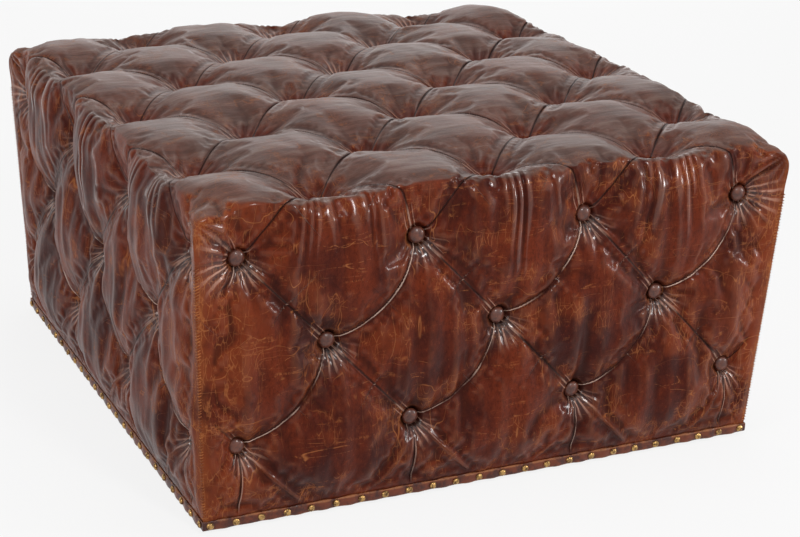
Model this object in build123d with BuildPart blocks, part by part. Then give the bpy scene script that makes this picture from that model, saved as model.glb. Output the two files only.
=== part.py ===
from build123d import *
import os
from math import sqrt

# Deep-buttoned square footstool, in millimetres.
# The origin is on the floor under the middle, +Z is up and the front is at -Y.
# Every side is alike, so the front is made once and turned about Z for the others.

# Overall sizes
band_width = 813.0  # across the nailed band at the foot
side_bulge = 16.0  # how far the side pads stand out past the band
crown_height = 452.0  # floor to the middle of the top
crown_fall = 10.0  # how much lower the pads over the edges are

# Where the buttons sit
button_margin = 46.5  # outer buttons to the band's face
bottom_row_height = 114.0
top_row_height = 364.0
columns_each_way = 3  # button columns on each side of the middle one
side_rows = 3  # rows of buttons on a side
edge_share = 2 / 3  # the first step's share of the way over the edge

# Tufting
seat_half = 13.0  # half the flat that a button sits on
top_well_depth = 38.0  # pad crest down to the button seat
top_pleat_depth = 15.0
top_shoulder = 5.0  # how much lower a pad is halfway between two rows
side_well_depth = 26.0
side_pleat_depth = 10.0
side_shoulder = 4.0
roll_start = 10.0  # fall of the top past the outer buttons, at half a step
roll_end = 22.0  # the same at a whole step, outside the edge
side_roll_start = 8.0  # how far the sides lean in above the top row, at half a step
side_roll_end = 38.0
skirt_height = 42.0  # where the side pads are full again above the band
skirt_recess = 4.0
skirt_pleat_depth = 9.0
skirt_pleat_half = 3.0
hem_pucker = 1.0  # how far the leather draws in at the pleats behind the band
corner_recess = 2.0  # how far the corner seam is drawn in at the top row

# Leather and trim
leather_thickness = 2.0
band_thickness = 2.0
band_height = 12.0
hem_turn = 25.0  # leather turned under the frame
seam_gap = 0.2  # each side of a mitred seam
trim_gap = 0.2  # under the band and under each button
soft_gap = 0.5  # between soft pieces, and between them and the frame
overrun = 20.0  # how far a cutting shape runs past what it cuts

# Frame
frame_width = 784.0  # across the side boards
board_thickness = 5.0
deck_thickness = 12.0
deck_top = 390.0
post_width = 45.0
rail_thickness = 19.0
bottom_rail_height = 70.0
top_rail_height = 60.0
bearer_width = 40.0
brace_thickness = 19.0
brace_post_gap = 2.0
strip_height = 14.0

# Buttons, twine and toggles
button_radius = 11.0
button_height = 6.0
button_rim = 1.6
nail_back_radius = 1.2
nail_back_length = 22.0
twine_radius = 1.0
twine_hole_radius = 4.0
soft_hole_radius = 1.5
toggle_radius = 6.5
toggle_thickness = 3.0

# Brass nails
nails_per_side = 24
nail_end_margin = 10.5
nail_head_radius = 4.75
nail_head_height = 3.0
nail_shank_radius = 0.8
nail_shank_length = 9.0
pilot_gap = 0.1

# Screws, glides, dust cover and stitches
screw_radius = 2.0
screw_head_radius = 4.2
screw_head_height = 3.0
frame_screw_length = 75.0
deck_screw_length = 40.0
left_screw_shares = (0.15, 0.5)  # of a rail's height, so that screws of two sides miss each other
right_screw_shares = (0.32, 0.66)
glide_radius = 12.0
glide_height = 4.5
glide_sink = 1.0
glide_nail_radius = 1.5
glide_nail_head = 3.0
glide_nail_length = 20.0
dust_cover_thickness = 0.8
dust_cover_lap = 18.0  # how far the dust cover laps over the turned hem
staple_length = 10.0
staple_width = 1.2
staple_thickness = 0.6
staple_leg = 5.0
staples_per_side = 8
stitch_pitch = 13.0
stitch_length = 9.0
stitch_radius = 0.6
stitch_tilt = 25.0  # degrees off level

# Places worked out from the sizes above
band_face = band_width / 2
crest_face = band_face + side_bulge
hem_face = band_face - band_thickness - trim_gap
frame_face = frame_width / 2
board_back = frame_face - board_thickness
half_pitch = (band_face - button_margin) / columns_each_way
row_step = (top_row_height - bottom_row_height) / (side_rows - 1)
edge_run = crown_height - top_row_height + crest_face - columns_each_way * half_pitch
edge_step = edge_run * edge_share  # on the top past its outer buttons, and on a side above its top row
dust_cover_bottom = glide_height
hem_bottom = dust_cover_bottom + dust_cover_thickness
frame_bottom = hem_bottom + leather_thickness
hem_top = hem_bottom + band_height
hem_recess = crest_face - hem_face
seam_lean = (hem_recess - corner_recess) / (top_row_height - hem_top)
rail_back = board_back - rail_thickness
rail_middle = board_back - rail_thickness / 2
post_back = board_back - post_width
post_middle = board_back - post_width / 2
deck_bottom = deck_top - deck_thickness
top_rail_bottom = deck_bottom - top_rail_height
strip_face = hem_face - hem_pucker - leather_thickness - soft_gap
strip_top = frame_bottom + strip_height
bearer_middle = half_pitch + half_pitch / 2  # between two columns of tufting holes
skin_depth = leather_thickness + soft_gap  # from the leather's face to what fills it
sides = {"front": 0, "right": 90, "back": 180, "left": 270}
standing = (Align.CENTER, Align.CENTER, Align.MIN)  # from the plane upwards
hanging = (Align.CENTER, Align.CENTER, Align.MAX)  # from the plane downwards
os.makedirs("parts", exist_ok=True)


def save(piece, name):
    piece.part.label = name
    export_step(piece.part, f"parts/{name}.step")


def place(index):
    """A column's or row's distance from the middle. Past the outer one, the steps go over the edge."""
    inner = min(abs(index), columns_each_way)
    distance = inner * half_pitch + (abs(index) - inner) * edge_step
    return distance if index > 0 else -distance


def is_seat(column, row):
    return (column + row) % 2 == 1


def span(lowest, highest):
    return range(lowest, highest + 1)


def joined(places):
    """The line through the places: an arc where three stand together, and straight elsewhere."""
    for start, crest, end in places:
        if crest is None:
            Line(start, end)
        else:
            ThreePointArc(start, crest, end)


# The tufted form of the top

top_edge = columns_each_way + 1


def top_level(column, row):
    """Height of the pads' crests over one place of the button grid. Past the outer buttons it rolls over."""
    inner = [min(abs(index) / columns_each_way, 1) for index in (column, row)]
    past = max(abs(column), abs(row)) - columns_each_way
    roll = roll_end if past >= 1 else roll_start if past > 0 else 0
    return crown_height - crown_fall * (inner[0] ** 2 + inner[1] ** 2) - roll


def top_dip(column, row):
    """Depth of the joint between pads at a button, or at a pleat over the edge."""
    return top_well_depth if max(abs(column), abs(row)) < top_edge else top_pleat_depth


def top_row_places(row):
    """Start, crest and end of each stretch across the top, in a row of buttons."""
    ends = []
    for column in span(-top_edge, top_edge):
        if is_seat(column, row):
            seat = top_level(column, row) - top_dip(column, row)
            ends.append((place(column) - seat_half, seat))
            ends.append((place(column) + seat_half, seat))
    outer = top_level(top_edge, row) - top_shoulder
    if is_seat(top_edge, row):
        ends = ends[1:-1]
        outer = ends[0][1]
    ends = [(place(-top_edge), outer), *ends, (place(top_edge), outer)]
    places = []
    for column, start, end in zip(span(-top_edge, top_edge), ends, ends[1:]):
        crest = None
        if not is_seat(column, row):
            over_edge = abs(column) == top_edge
            crest_column = column * (top_edge - 0.5) / top_edge if over_edge else column
            drop = top_shoulder if over_edge else 0
            crest = (place(crest_column), top_level(crest_column, row) - drop)
        places.append((start, crest, end))
    return places


def top_half_places(row):
    """The same halfway between two rows, where only pleats part the pads."""
    joints = [column + 0.5 for column in span(-top_edge, top_edge - 1)]
    ends = [(place(joint), top_level(joint, row) - top_pleat_depth) for joint in joints]
    outer = top_level(top_edge, row) - top_pleat_depth
    ends = [(place(-top_edge), outer), *ends, (place(top_edge), outer)]
    places = []
    for column, start, end in zip(span(-top_edge, top_edge), ends, ends[1:]):
        domed = abs(column) < top_edge
        crest = (place(column), top_level(column, row) - top_shoulder) if domed else None
        places.append((start, crest, end))
    return places


def top_sections():
    """Each section across the top: its place along Y and its stretches."""
    sections = []
    for row in span(-top_edge, top_edge):
        stretches = top_row_places(row)
        sections.append((place(row) - seat_half, stretches))
        sections.append((place(row) + seat_half, stretches))
        if row < top_edge:
            sections.append((place(row + 0.5), top_half_places(row + 0.5)))
    return sections


def lowered(stretches, drop):
    moved = []
    for start, crest, end in stretches:
        crest = crest and (crest[0], crest[1] - drop)
        moved.append(((start[0], start[1] - drop), crest, (end[0], end[1] - drop)))
    return moved


def top_form(bottom, drop):
    """A block under the tufted surface lowered by drop, down to the level bottom."""
    with BuildPart() as form:
        for along, stretches in top_sections():
            under = lowered(stretches, drop)
            first, last = under[0][0], under[-1][2]
            with BuildSketch(Plane.XZ.offset(-along)):
                with BuildLine():
                    joined(under)
                    Polyline(first, (first[0], bottom), (last[0], bottom), last)
                make_face()
        loft(ruled=True)
    return form


def top_skin():
    """The leather of the top before it is trimmed, one thickness deep."""
    with BuildPart() as skin:
        for along, stretches in top_sections():
            under = lowered(stretches, leather_thickness)
            with BuildSketch(Plane.XZ.offset(-along)):
                with BuildLine():
                    joined(stretches)
                    joined(under)
                    Line(stretches[0][0], under[0][0])
                    Line(stretches[-1][2], under[-1][2])
                make_face()
        loft(ruled=True)
    return skin


# The tufted form of the sides

side_edge = crest_face + overrun
corner_run = hem_face - columns_each_way * half_pitch


def side_joint(column):
    """Where two pads meet halfway between button rows. The outer ones stop short of the corner."""
    if abs(column) < columns_each_way:
        return place(column)
    distance = columns_each_way * half_pitch + corner_run / 2
    return distance if column > 0 else -distance


def side_stretches(ends, crests, corner):
    """Stretches from corner to corner, given as distance along the side and depth behind the crest face."""
    left = [(-side_edge, corner), (-hem_face, corner)]
    right = [(hem_face, corner), (side_edge, corner)]
    ends = [*left, *ends, *right]
    crests = [None, None, *crests, None, None]
    return list(zip(ends, crests, ends[1:]))


def side_row(row, recess, corner):
    """A level through a row of buttons."""
    columns = span(-columns_each_way, columns_each_way)
    outer = side_joint(columns_each_way)
    ends, crests = [], []
    for column in columns:
        if is_seat(column, row):
            ends.append((place(column) - seat_half, recess + side_well_depth))
            ends.append((place(column) + seat_half, recess + side_well_depth))
            crests.append(None)
        else:
            crests.append((place(column), recess))
    if not is_seat(columns_each_way, row):
        ends = [(-outer, recess + side_shoulder), *ends, (outer, recess + side_shoulder)]
    return side_stretches(ends, crests, corner)


def side_half(recess, corner):
    """A level halfway between two rows of buttons."""
    joints = [column + 0.5 for column in span(-columns_each_way - 1, columns_each_way)]
    ends = [(side_joint(joint), recess + side_pleat_depth) for joint in joints]
    ends[0] = (ends[0][0], recess + side_shoulder)
    ends[-1] = (ends[-1][0], recess + side_shoulder)
    columns = span(-columns_each_way, columns_each_way)
    crests = [(place(column), recess + side_shoulder / 2) for column in columns]
    return side_stretches(ends, crests, corner)


def side_skirt(recess, pleat_depth, corner):
    """A level under the bottom buttons, where an upright pleat runs down from each of them."""
    ends, crests = [], []
    for column in span(-columns_each_way, columns_each_way):
        if is_seat(column, 0):
            ends.append((place(column) - skirt_pleat_half, recess + pleat_depth))
            ends.append((place(column) + skirt_pleat_half, recess + pleat_depth))
            crests.append(None)
        else:
            crests.append((place(column), recess))
    return side_stretches(ends, crests, corner)


def side_levels():
    """Each level of a side: its height and its stretches. The corner seam leans out towards the top."""
    levels = [
        (hem_bottom, side_skirt(hem_recess, hem_pucker, hem_recess)),
        (hem_top, side_skirt(hem_recess, hem_pucker, hem_recess)),
    ]

    def corner_at(height):
        return hem_recess - seam_lean * (height - hem_top)

    levels.append((skirt_height, side_skirt(skirt_recess, skirt_pleat_depth, corner_at(skirt_height))))
    for row in range(side_rows):
        height = bottom_row_height + row * row_step
        for edge in (height - seat_half, height + seat_half):
            corner = max(corner_at(edge), corner_recess)
            levels.append((edge, side_row(row, 0, corner)))
        if row < side_rows - 1:
            half = height + row_step / 2
            levels.append((half, side_half(0, corner_at(half))))
    half = top_row_height + edge_step / 2
    levels.append((half, side_half(side_roll_start, corner_recess + side_roll_start)))
    end = top_row_height + edge_step
    rolled = side_row(1, side_roll_end, corner_recess + side_roll_end)
    levels.append((max(end, crown_height + overrun), rolled))
    return levels


def side_points(stretches, depth):
    """Stretches turned into points on the front, set back by depth."""
    face = depth - crest_face
    moved = []
    for start, crest, end in stretches:
        crest = crest and (crest[0], crest[1] + face)
        moved.append(((start[0], start[1] + face), crest, (end[0], end[1] + face)))
    return moved


def side_block(depth):
    """A block between the tufted front and back surfaces, both set back by depth."""
    with BuildPart() as block:
        for height, stretches in side_levels():
            front = side_points(stretches, depth)
            back = [
                ((-a[0], -a[1]), b and (-b[0], -b[1]), (-c[0], -c[1])) for a, b, c in front
            ]
            with BuildSketch(Plane.XY.offset(height)):
                with BuildLine():
                    joined(front)
                    joined(back)
                    Line(front[0][0], back[-1][2])
                    Line(front[-1][2], back[0][0])
                make_face()
        loft(ruled=True)
    return block


def side_sheet(depth, back_depth=None, back_face=None):
    """The front's surface set back by depth, closed by the same surface deeper in or by a flat back."""
    with BuildPart() as sheet:
        for height, stretches in side_levels():
            front = side_points(stretches, depth)
            first, last = front[0][0], front[-1][2]
            with BuildSketch(Plane.XY.offset(height)):
                with BuildLine():
                    joined(front)
                    if back_face is None:
                        behind = side_points(stretches, back_depth)
                        joined(behind)
                        Line(first, behind[0][0])
                        Line(last, behind[-1][2])
                    else:
                        Polyline(first, (first[0], -back_face), (last[0], -back_face), last)
                make_face()
        loft(ruled=True)
    return sheet


def mitre(gap, bottom, top):
    """The front quarter of the plan, between the two diagonals, as a block to cut seams with."""
    back = gap * sqrt(2)
    with BuildPart() as quarter:
        with BuildSketch(Plane.XY.offset(bottom)):
            with BuildLine():
                left, right = (-side_edge, -side_edge - back), (side_edge, -side_edge - back)
                Polyline((0, -back), left, right, close=True)
            make_face()
        extrude(amount=top - bottom)
    return quarter


def bar(x, y, z):
    """A squared length of wood or board, from the lowest to the highest x, y and z."""
    with BuildPart() as wood:
        with Locations(Location((x[0], y[0], z[0]))):
            Box(x[1] - x[0], y[1] - y[0], z[1] - z[0], align=(Align.MIN, Align.MIN, Align.MIN))
    return wood


def turned(piece, angle):
    return piece.part.rotate(Axis.Z, angle)


def all_round(piece):
    """The front's pieces and their copies on the other sides, as separate solids."""
    with BuildPart() as group:
        for angle in sides.values():
            add(turned(piece, angle))
    return group


def save_sides(piece, name):
    for side, angle in sides.items():
        with BuildPart() as copy:
            add(turned(piece, angle))
        save(copy, f"{name}_{side}")


# Button places. On the front a place is along X and up Z, at the seat's face.

top_columns = span(-columns_each_way, columns_each_way)
top_seats = [
    (place(column), place(row), top_level(column, row) - top_well_depth)
    for row in top_columns
    for column in top_columns
    if is_seat(column, row)
]
front_seat_face = crest_face - side_well_depth
tied_seats, nailed_seats = [], []
for row in range(side_rows):
    for column in top_columns:
        if is_seat(column, row):
            over_wood = abs(column) == columns_each_way or row == side_rows - 1
            seat = (place(column), bottom_row_height + row * row_step)
            (nailed_seats if over_wood else tied_seats).append(seat)

front_plane = Plane.XZ.offset(front_seat_face)  # on the seats, facing out of the front


# Covered buttons, twine and toggles

def button(nail_length):
    """A domed button lying on Z = 0. A nail back reaches down from it where the length isn't zero."""
    with BuildPart() as dome:
        with BuildSketch(Plane.XZ):
            with BuildLine():
                Polyline((0, button_height), (0, 0), (button_radius, 0), (button_radius, button_rim))
                TangentArc((0, button_height), (button_radius, button_rim), tangent=(1, 0))
            make_face()
        revolve(axis=Axis.Z)
        if nail_length:
            Cylinder(nail_back_radius, nail_length, align=hanging)
    return dome


def rods(plane, places, radius, start, end):
    """Round rods square to the plane, from start to end above it."""
    with BuildPart() as group:
        with Locations(*[plane.offset(start) * Location((*spot, 0)) for spot in places]):
            Cylinder(radius, end - start, align=standing)
    return group


tied_button = button(0)
nailed_button = button(nail_back_length)

with BuildPart() as buttons_top:
    with Locations(*[(x, y, z + trim_gap) for x, y, z in top_seats]):
        add(tied_button.part)

with BuildPart() as buttons_front:
    button_plane = front_plane.offset(trim_gap)
    with Locations(*[button_plane * Location((*seat, 0)) for seat in tied_seats]):
        add(tied_button.part)
    with Locations(*[button_plane * Location((*seat, 0)) for seat in nailed_seats]):
        add(nailed_button.part)

with BuildPart() as twine_top:
    for x, y, z in top_seats:
        with Locations(Location((x, y, deck_bottom))):
            Cylinder(twine_radius, z + trim_gap - deck_bottom, align=standing)

top_spots = [(x, y) for x, y, z in top_seats]
toggles_top = rods(Plane.XY, top_spots, toggle_radius, deck_bottom - toggle_thickness, deck_bottom)
back_of_board = board_back - front_seat_face
twine_front = rods(front_plane, tied_seats, twine_radius, back_of_board, trim_gap)
toggle_back = back_of_board - toggle_thickness
toggles_front = rods(front_plane, tied_seats, toggle_radius, toggle_back, back_of_board)

# Holes for them, as solids to cut with
top_holes = rods(Plane.XY, top_spots, soft_hole_radius, deck_top, crown_height)
deck_holes = rods(Plane.XY, top_spots, twine_hole_radius, deck_bottom - overrun, deck_top + overrun)
soft_reach = crest_face - front_seat_face
tied_holes = rods(front_plane, tied_seats, soft_hole_radius, back_of_board, soft_reach)
board_holes = rods(front_plane, tied_seats, twine_hole_radius, back_of_board - overrun, soft_reach)
nail_tip = trim_gap - nail_back_length - pilot_gap
nail_hole_radius = nail_back_radius + pilot_gap
nailed_holes = rods(front_plane, nailed_seats, nail_hole_radius, nail_tip, soft_reach)


# Brass nails, one row along the front of the band

nail_run = 2 * (band_face - nail_end_margin)
nail_step = nail_run / (nails_per_side - 1)
nail_height = hem_bottom + band_height / 2
nail_spots = [(index * nail_step - nail_run / 2, nail_height) for index in range(nails_per_side)]
band_plane = Plane.XZ.offset(band_face)

with BuildPart() as brass_nail:
    with BuildSketch(Plane.XZ):
        with BuildLine():
            Polyline((0, nail_head_height), (0, 0), (nail_head_radius, 0))
            TangentArc((0, nail_head_height), (nail_head_radius, 0), tangent=(1, 0))
        make_face()
    revolve(axis=Axis.Z)
    Cylinder(nail_shank_radius, nail_shank_length, align=hanging)

with BuildPart() as nails_front:
    with Locations(*[band_plane * Location((*spot, 0)) for spot in nail_spots]):
        add(brass_nail.part)

pilot_radius = nail_shank_radius + pilot_gap
pilot_depth = nail_shank_length + pilot_gap
nail_pilots = rods(band_plane, nail_spots, pilot_radius, -pilot_depth, overrun)


# Screws. Each rail takes two at each end through the post, and each bearer one.

def screw(length, gap):
    """A screw standing head up with its head's top at Z = 0, or its hole where the gap isn't zero."""
    with BuildPart() as shape:
        Cylinder(screw_head_radius + gap, screw_head_height + gap, align=hanging)
        Cylinder(screw_radius + gap, length + gap, align=hanging)
    return shape


rail_levels = {"bottom": (frame_bottom, bottom_rail_height), "top": (top_rail_bottom, top_rail_height)}
bearer_level = deck_bottom - rail_thickness / 2


def rail_screws(gap):
    """The screws into the ends of the front's two rails, or their holes."""
    shape = screw(frame_screw_length, gap)
    left_end, right_end = Plane.YZ.offset(-board_back), Plane.YZ.offset(board_back)
    with BuildPart() as group:
        for bottom, height in rail_levels.values():
            for share in left_screw_shares:
                spot = Location((-rail_middle, bottom + share * height, 0), (180, 0, 0))
                with Locations(left_end * spot):
                    add(shape.part)
            for share in right_screw_shares:
                with Locations(right_end * Location((-rail_middle, bottom + share * height, 0))):
                    add(shape.part)
    return group


def bearer_screws(gap):
    """The screws through the front top rail into the bearers, or their holes."""
    shape = screw(frame_screw_length, gap)
    with BuildPart() as group:
        for x in (-bearer_middle, bearer_middle):
            with Locations(Plane.XZ.offset(board_back) * Location((x, bearer_level, 0))):
                add(shape.part)
    return group


def deck_screws(gap):
    """The screws through the deck into the front rail, over the even columns, or their holes."""
    shape = screw(deck_screw_length, gap)
    with BuildPart() as group:
        for column in top_columns:
            if is_seat(column, 1):
                with Locations((place(column), -rail_middle, deck_top)):
                    add(shape.part)
    return group


rail_screw_holes = rail_screws(pilot_gap)
bearer_screw_holes = bearer_screws(pilot_gap)
deck_screw_holes = deck_screws(pilot_gap)

with BuildPart() as frame_screws:
    add(all_round(rail_screws(0)).part)
    for angle in (sides["front"], sides["back"]):
        add(turned(bearer_screws(0), angle))


# Staples of the dust cover and the glides' nails

staple_line = (hem_face - hem_turn + board_back) / 2


def staples(gap):
    """One row of staples under the front rail, or the holes of their legs."""
    with BuildPart() as row:
        with GridLocations(2 * post_back / staples_per_side, 0, staples_per_side, 1):
            with Locations((0, -staple_line, dust_cover_bottom - staple_thickness)):
                if not gap:
                    Box(staple_length, staple_width, staple_thickness, align=standing)
                with GridLocations(staple_length - staple_thickness, 0, 2, 1):
                    leg = (staple_thickness + 2 * gap, staple_width + 2 * gap, staple_leg + gap)
                    Box(*leg, align=standing)
    return row


def glide_nail(gap):
    """The front left glide's nail, or its hole."""
    with BuildPart() as nail:
        with Locations((-post_middle, -post_middle, glide_sink)):
            Cylinder(glide_nail_radius + gap, glide_nail_length + gap, align=standing)
            Cylinder(glide_nail_head + gap, glide_sink + gap, align=standing)
    return nail


staple_holes = staples(pilot_gap)
glide_nail_hole = glide_nail(pilot_gap)

with BuildPart() as glide:
    with Locations((-post_middle, -post_middle, 0)):
        Cylinder(glide_radius, glide_height, align=standing)
    add(glide_nail_hole.part, mode=Mode.SUBTRACT)
    with Locations((-post_middle, -post_middle, 0)):
        Cylinder(glide_nail_head + pilot_gap, glide_sink, align=standing, mode=Mode.SUBTRACT)


# Wooden frame

long_run = (-frame_face, board_back)  # laid so that each side's end covers the next one's

for level, (bottom, height) in rail_levels.items():
    rail = bar((-post_back, post_back), (-board_back, -rail_back), (bottom, bottom + height))
    for side, angle in sides.items():
        with BuildPart() as fitted_rail:
            add(rail.part)
            add(rail_screw_holes.part, mode=Mode.SUBTRACT)
            add(nailed_holes.part, mode=Mode.SUBTRACT)
            if level == "bottom":
                add(staple_holes.part, mode=Mode.SUBTRACT)
            else:
                add(deck_screw_holes.part, mode=Mode.SUBTRACT)
                if side in ("front", "back"):
                    add(bearer_screw_holes.part, mode=Mode.SUBTRACT)
        with BuildPart() as placed_rail:
            add(turned(fitted_rail, angle))
        save(placed_rail, f"{level}_rail_{side}")

post = bar((-board_back, -post_back), (-board_back, -post_back), (frame_bottom, deck_bottom))
with BuildPart() as corner_post:
    add(post.part)
    for holes in (rail_screw_holes, nailed_holes):
        add(holes.part, mode=Mode.SUBTRACT)
        add(turned(holes, sides["left"]), mode=Mode.SUBTRACT)
    add(glide_nail_hole.part, mode=Mode.SUBTRACT)
corners = {"front_left": 0, "front_right": 90, "back_right": 180, "back_left": 270}
for corner, angle in corners.items():
    with BuildPart() as placed_post:
        add(turned(corner_post, angle))
    save(placed_post, f"corner_post_{corner}")

brace_outer = 2 * post_back - brace_post_gap * sqrt(2) - rail_back
brace_inner = brace_outer - brace_thickness * sqrt(2)
with BuildPart() as brace:
    with BuildSketch(Plane.XY.offset(frame_bottom)):
        with BuildLine():
            on_front = [(-brace_outer, -rail_back), (-brace_inner, -rail_back)]
            on_left = [(-rail_back, -brace_inner), (-rail_back, -brace_outer)]
            Polyline(*on_front, *on_left, close=True)
        make_face()
    extrude(amount=bottom_rail_height)
save(all_round(brace), "corner_braces")

with BuildPart() as deck_bearers:
    for middle in (-bearer_middle, bearer_middle):
        across = (middle - bearer_width / 2, middle + bearer_width / 2)
        along = (-rail_back, rail_back)
        add(bar(across, along, (deck_bottom - rail_thickness, deck_bottom)).part)
    for angle in (sides["front"], sides["back"]):
        add(turned(bearer_screw_holes, angle), mode=Mode.SUBTRACT)
save(deck_bearers, "deck_bearers")

with BuildPart() as side_board:
    add(bar(long_run, (-frame_face, -board_back), (frame_bottom, deck_bottom)).part)
    add(board_holes.part, mode=Mode.SUBTRACT)
    add(nailed_holes.part, mode=Mode.SUBTRACT)
save_sides(side_board, "side_board")

with BuildPart() as base_strip:
    strip_run = (-strip_face, frame_face)
    add(bar(strip_run, (-strip_face, -frame_face), (frame_bottom, strip_top)).part)
    add(nail_pilots.part, mode=Mode.SUBTRACT)
    add(turned(nail_pilots, sides["left"]), mode=Mode.SUBTRACT)
save_sides(base_strip, "base_strip")

with BuildPart() as deck:
    whole_frame = (-frame_face, frame_face)
    add(bar(whole_frame, whole_frame, (deck_bottom, deck_top)).part)
    add(deck_holes.part, mode=Mode.SUBTRACT)
    add(all_round(deck_screw_holes).part, mode=Mode.SUBTRACT)
save(deck, "deck_board")
save(frame_screws, "frame_screws")
save(all_round(deck_screws(0)), "deck_screws")


# Soft parts: foam on the frame, leather over it

inner_block = side_block(skin_depth)
inner_top = top_form(-overrun, skin_depth)
outer_block = side_block(0)
whole_width = (-side_edge, side_edge)

with BuildPart() as foam_top:
    add(inner_top.part)
    add(bar(whole_width, whole_width, (deck_top + soft_gap, crown_height)).part, mode=Mode.INTERSECT)
    add(inner_block.part, mode=Mode.INTERSECT)
    add(turned(inner_block, sides["right"]), mode=Mode.INTERSECT)
    add(top_holes.part, mode=Mode.SUBTRACT)
save(foam_top, "foam_top")

with BuildPart() as foam_side:
    add(side_sheet(skin_depth, back_face=frame_face + soft_gap).part)
    quarter = mitre(soft_gap, strip_top + soft_gap, deck_top - soft_gap)
    add(quarter.part, mode=Mode.INTERSECT)
    add(tied_holes.part, mode=Mode.SUBTRACT)
    add(nailed_holes.part, mode=Mode.SUBTRACT)
save_sides(foam_side, "foam")

with BuildPart() as leather_top:
    add(top_skin().part)
    add(outer_block.part, mode=Mode.INTERSECT)
    add(turned(outer_block, sides["right"]), mode=Mode.INTERSECT)
    add(top_holes.part, mode=Mode.SUBTRACT)
save(leather_top, "leather_top")

with BuildPart() as leather_side:
    add(side_sheet(0, leather_thickness).part)
    under = hem_face - hem_pucker
    inner = under - hem_turn
    add(bar((-under, under), (-under, -inner), (hem_bottom, frame_bottom)).part)
    add(mitre(seam_gap, hem_bottom, crown_height).part, mode=Mode.INTERSECT)
    for holes in (tied_holes, nailed_holes, nail_pilots, staple_holes):
        add(holes.part, mode=Mode.SUBTRACT)

for side, angle in sides.items():
    with BuildPart() as leather_panel:
        add(turned(leather_side, angle))
        add(inner_top.part, mode=Mode.INTERSECT)
    save(leather_panel, f"leather_{side}")

with BuildPart() as dust_cover:
    cover_half = hem_face - hem_turn + dust_cover_lap
    whole_cover = (-cover_half, cover_half)
    add(bar(whole_cover, whole_cover, (dust_cover_bottom, hem_bottom)).part)
    for holes in (staple_holes, glide_nail_hole):
        add(all_round(holes).part, mode=Mode.SUBTRACT)
save(dust_cover, "dust_cover")


# Band at the foot, and the stitches of the corner seams

with BuildPart() as trim_band:
    with BuildSketch(Plane.XY.offset(hem_bottom)):
        with BuildLine():
            inner_face = band_face - band_thickness
            outer, inner = band_face - seam_gap, inner_face - seam_gap
            front = [(-outer, -band_face), (outer, -band_face)]
            Polyline(*front, (inner, -inner_face), (-inner, -inner_face), close=True)
        make_face()
    extrude(amount=band_height)
    add(nail_pilots.part, mode=Mode.SUBTRACT)
save_sides(trim_band, "trim_band")
save_sides(nails_front, "brass_nails")

stitch_count = int((top_row_height - skirt_height) / stitch_pitch) + 1
with BuildPart() as corner_stitches:
    for index in range(stitch_count):
        height = skirt_height + index * stitch_pitch
        corner = crest_face - hem_recess + seam_lean * (height - hem_top)
        reach = corner + (stitch_radius + seam_gap) / sqrt(2)
        tilt = stitch_tilt if index % 2 else -stitch_tilt
        across = Plane((-reach, -reach, height), x_dir=(1, -1, 0), z_dir=(-1, -1, 0))
        with Locations(across * Location((0, 0, 0), (0, 90, 0)) * Location((0, 0, 0), (tilt, 0, 0))):
            Cylinder(stitch_radius, stitch_length)
for corner, angle in corners.items():
    with BuildPart() as placed_stitches:
        add(turned(corner_stitches, angle))
    save(placed_stitches, f"corner_stitching_{corner}")

save(buttons_top, "buttons_top")
save_sides(buttons_front, "buttons")
save(twine_top, "tufting_twine_top")
save(all_round(twine_front), "tufting_twine_sides")
save(toggles_top, "twine_toggles_top")
save(all_round(toggles_front), "twine_toggles_sides")
save(all_round(staples(0)), "dust_cover_staples")
save(all_round(glide), "glides")
save(all_round(glide_nail(0)), "glide_nails")
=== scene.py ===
# %% [markdown]
# # A deep-buttoned leather footstool
#
# This file dresses a finished model of a square, block-shaped footstool. Wood, screws, glides
# and mounts are already fixed in the frame that is loaded here. What is left is what a maker
# would call the cover: distressed leather over padding, pulled in by buttons, nailed along the
# foot under a band.
#
# Everything is in the model's own place. Sizes below are millimetres and become metres where a
# mesh is made.

from types import SimpleNamespace

import bpy
import numpy as np
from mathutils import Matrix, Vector


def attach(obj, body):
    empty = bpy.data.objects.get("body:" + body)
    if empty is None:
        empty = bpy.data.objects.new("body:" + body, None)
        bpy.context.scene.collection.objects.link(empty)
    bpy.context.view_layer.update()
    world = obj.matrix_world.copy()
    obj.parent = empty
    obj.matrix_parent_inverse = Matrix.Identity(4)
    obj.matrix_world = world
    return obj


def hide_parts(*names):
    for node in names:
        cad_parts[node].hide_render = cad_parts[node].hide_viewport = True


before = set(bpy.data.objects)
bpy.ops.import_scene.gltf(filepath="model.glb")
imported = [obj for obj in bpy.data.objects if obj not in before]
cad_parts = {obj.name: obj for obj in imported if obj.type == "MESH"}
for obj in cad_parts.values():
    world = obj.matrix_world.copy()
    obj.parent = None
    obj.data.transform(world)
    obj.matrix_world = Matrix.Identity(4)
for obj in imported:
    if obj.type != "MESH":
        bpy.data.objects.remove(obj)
scene = bpy.context.scene
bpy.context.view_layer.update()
print("nodes in the frame:", len(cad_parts))


def placed(name, data):
    """A new object of the scene that holds the data."""
    made = bpy.data.objects.new(name, data)
    scene.collection.objects.link(made)
    return made


# %% [markdown]
# ## Camera
#
# The photograph looks slightly down on a corner, from a few metres away with a long lens. The
# angles, the lens and the small shift were solved from the nail rows and the corners of the
# block, so a piece that is in its real place also lands on its place in the picture.

# %% Camera
camera = placed("camera", bpy.data.cameras.new("camera"))
scene.camera = camera
camera.location = (-1.1461, -2.4850, 1.2024)
camera.rotation_euler = np.radians([69.106, -1.799, -24.876])
camera.data.lens, camera.data.sensor_width = 88.97, 36.0
camera.data.shift_x, camera.data.shift_y = 0.0065, 0.0020

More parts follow.
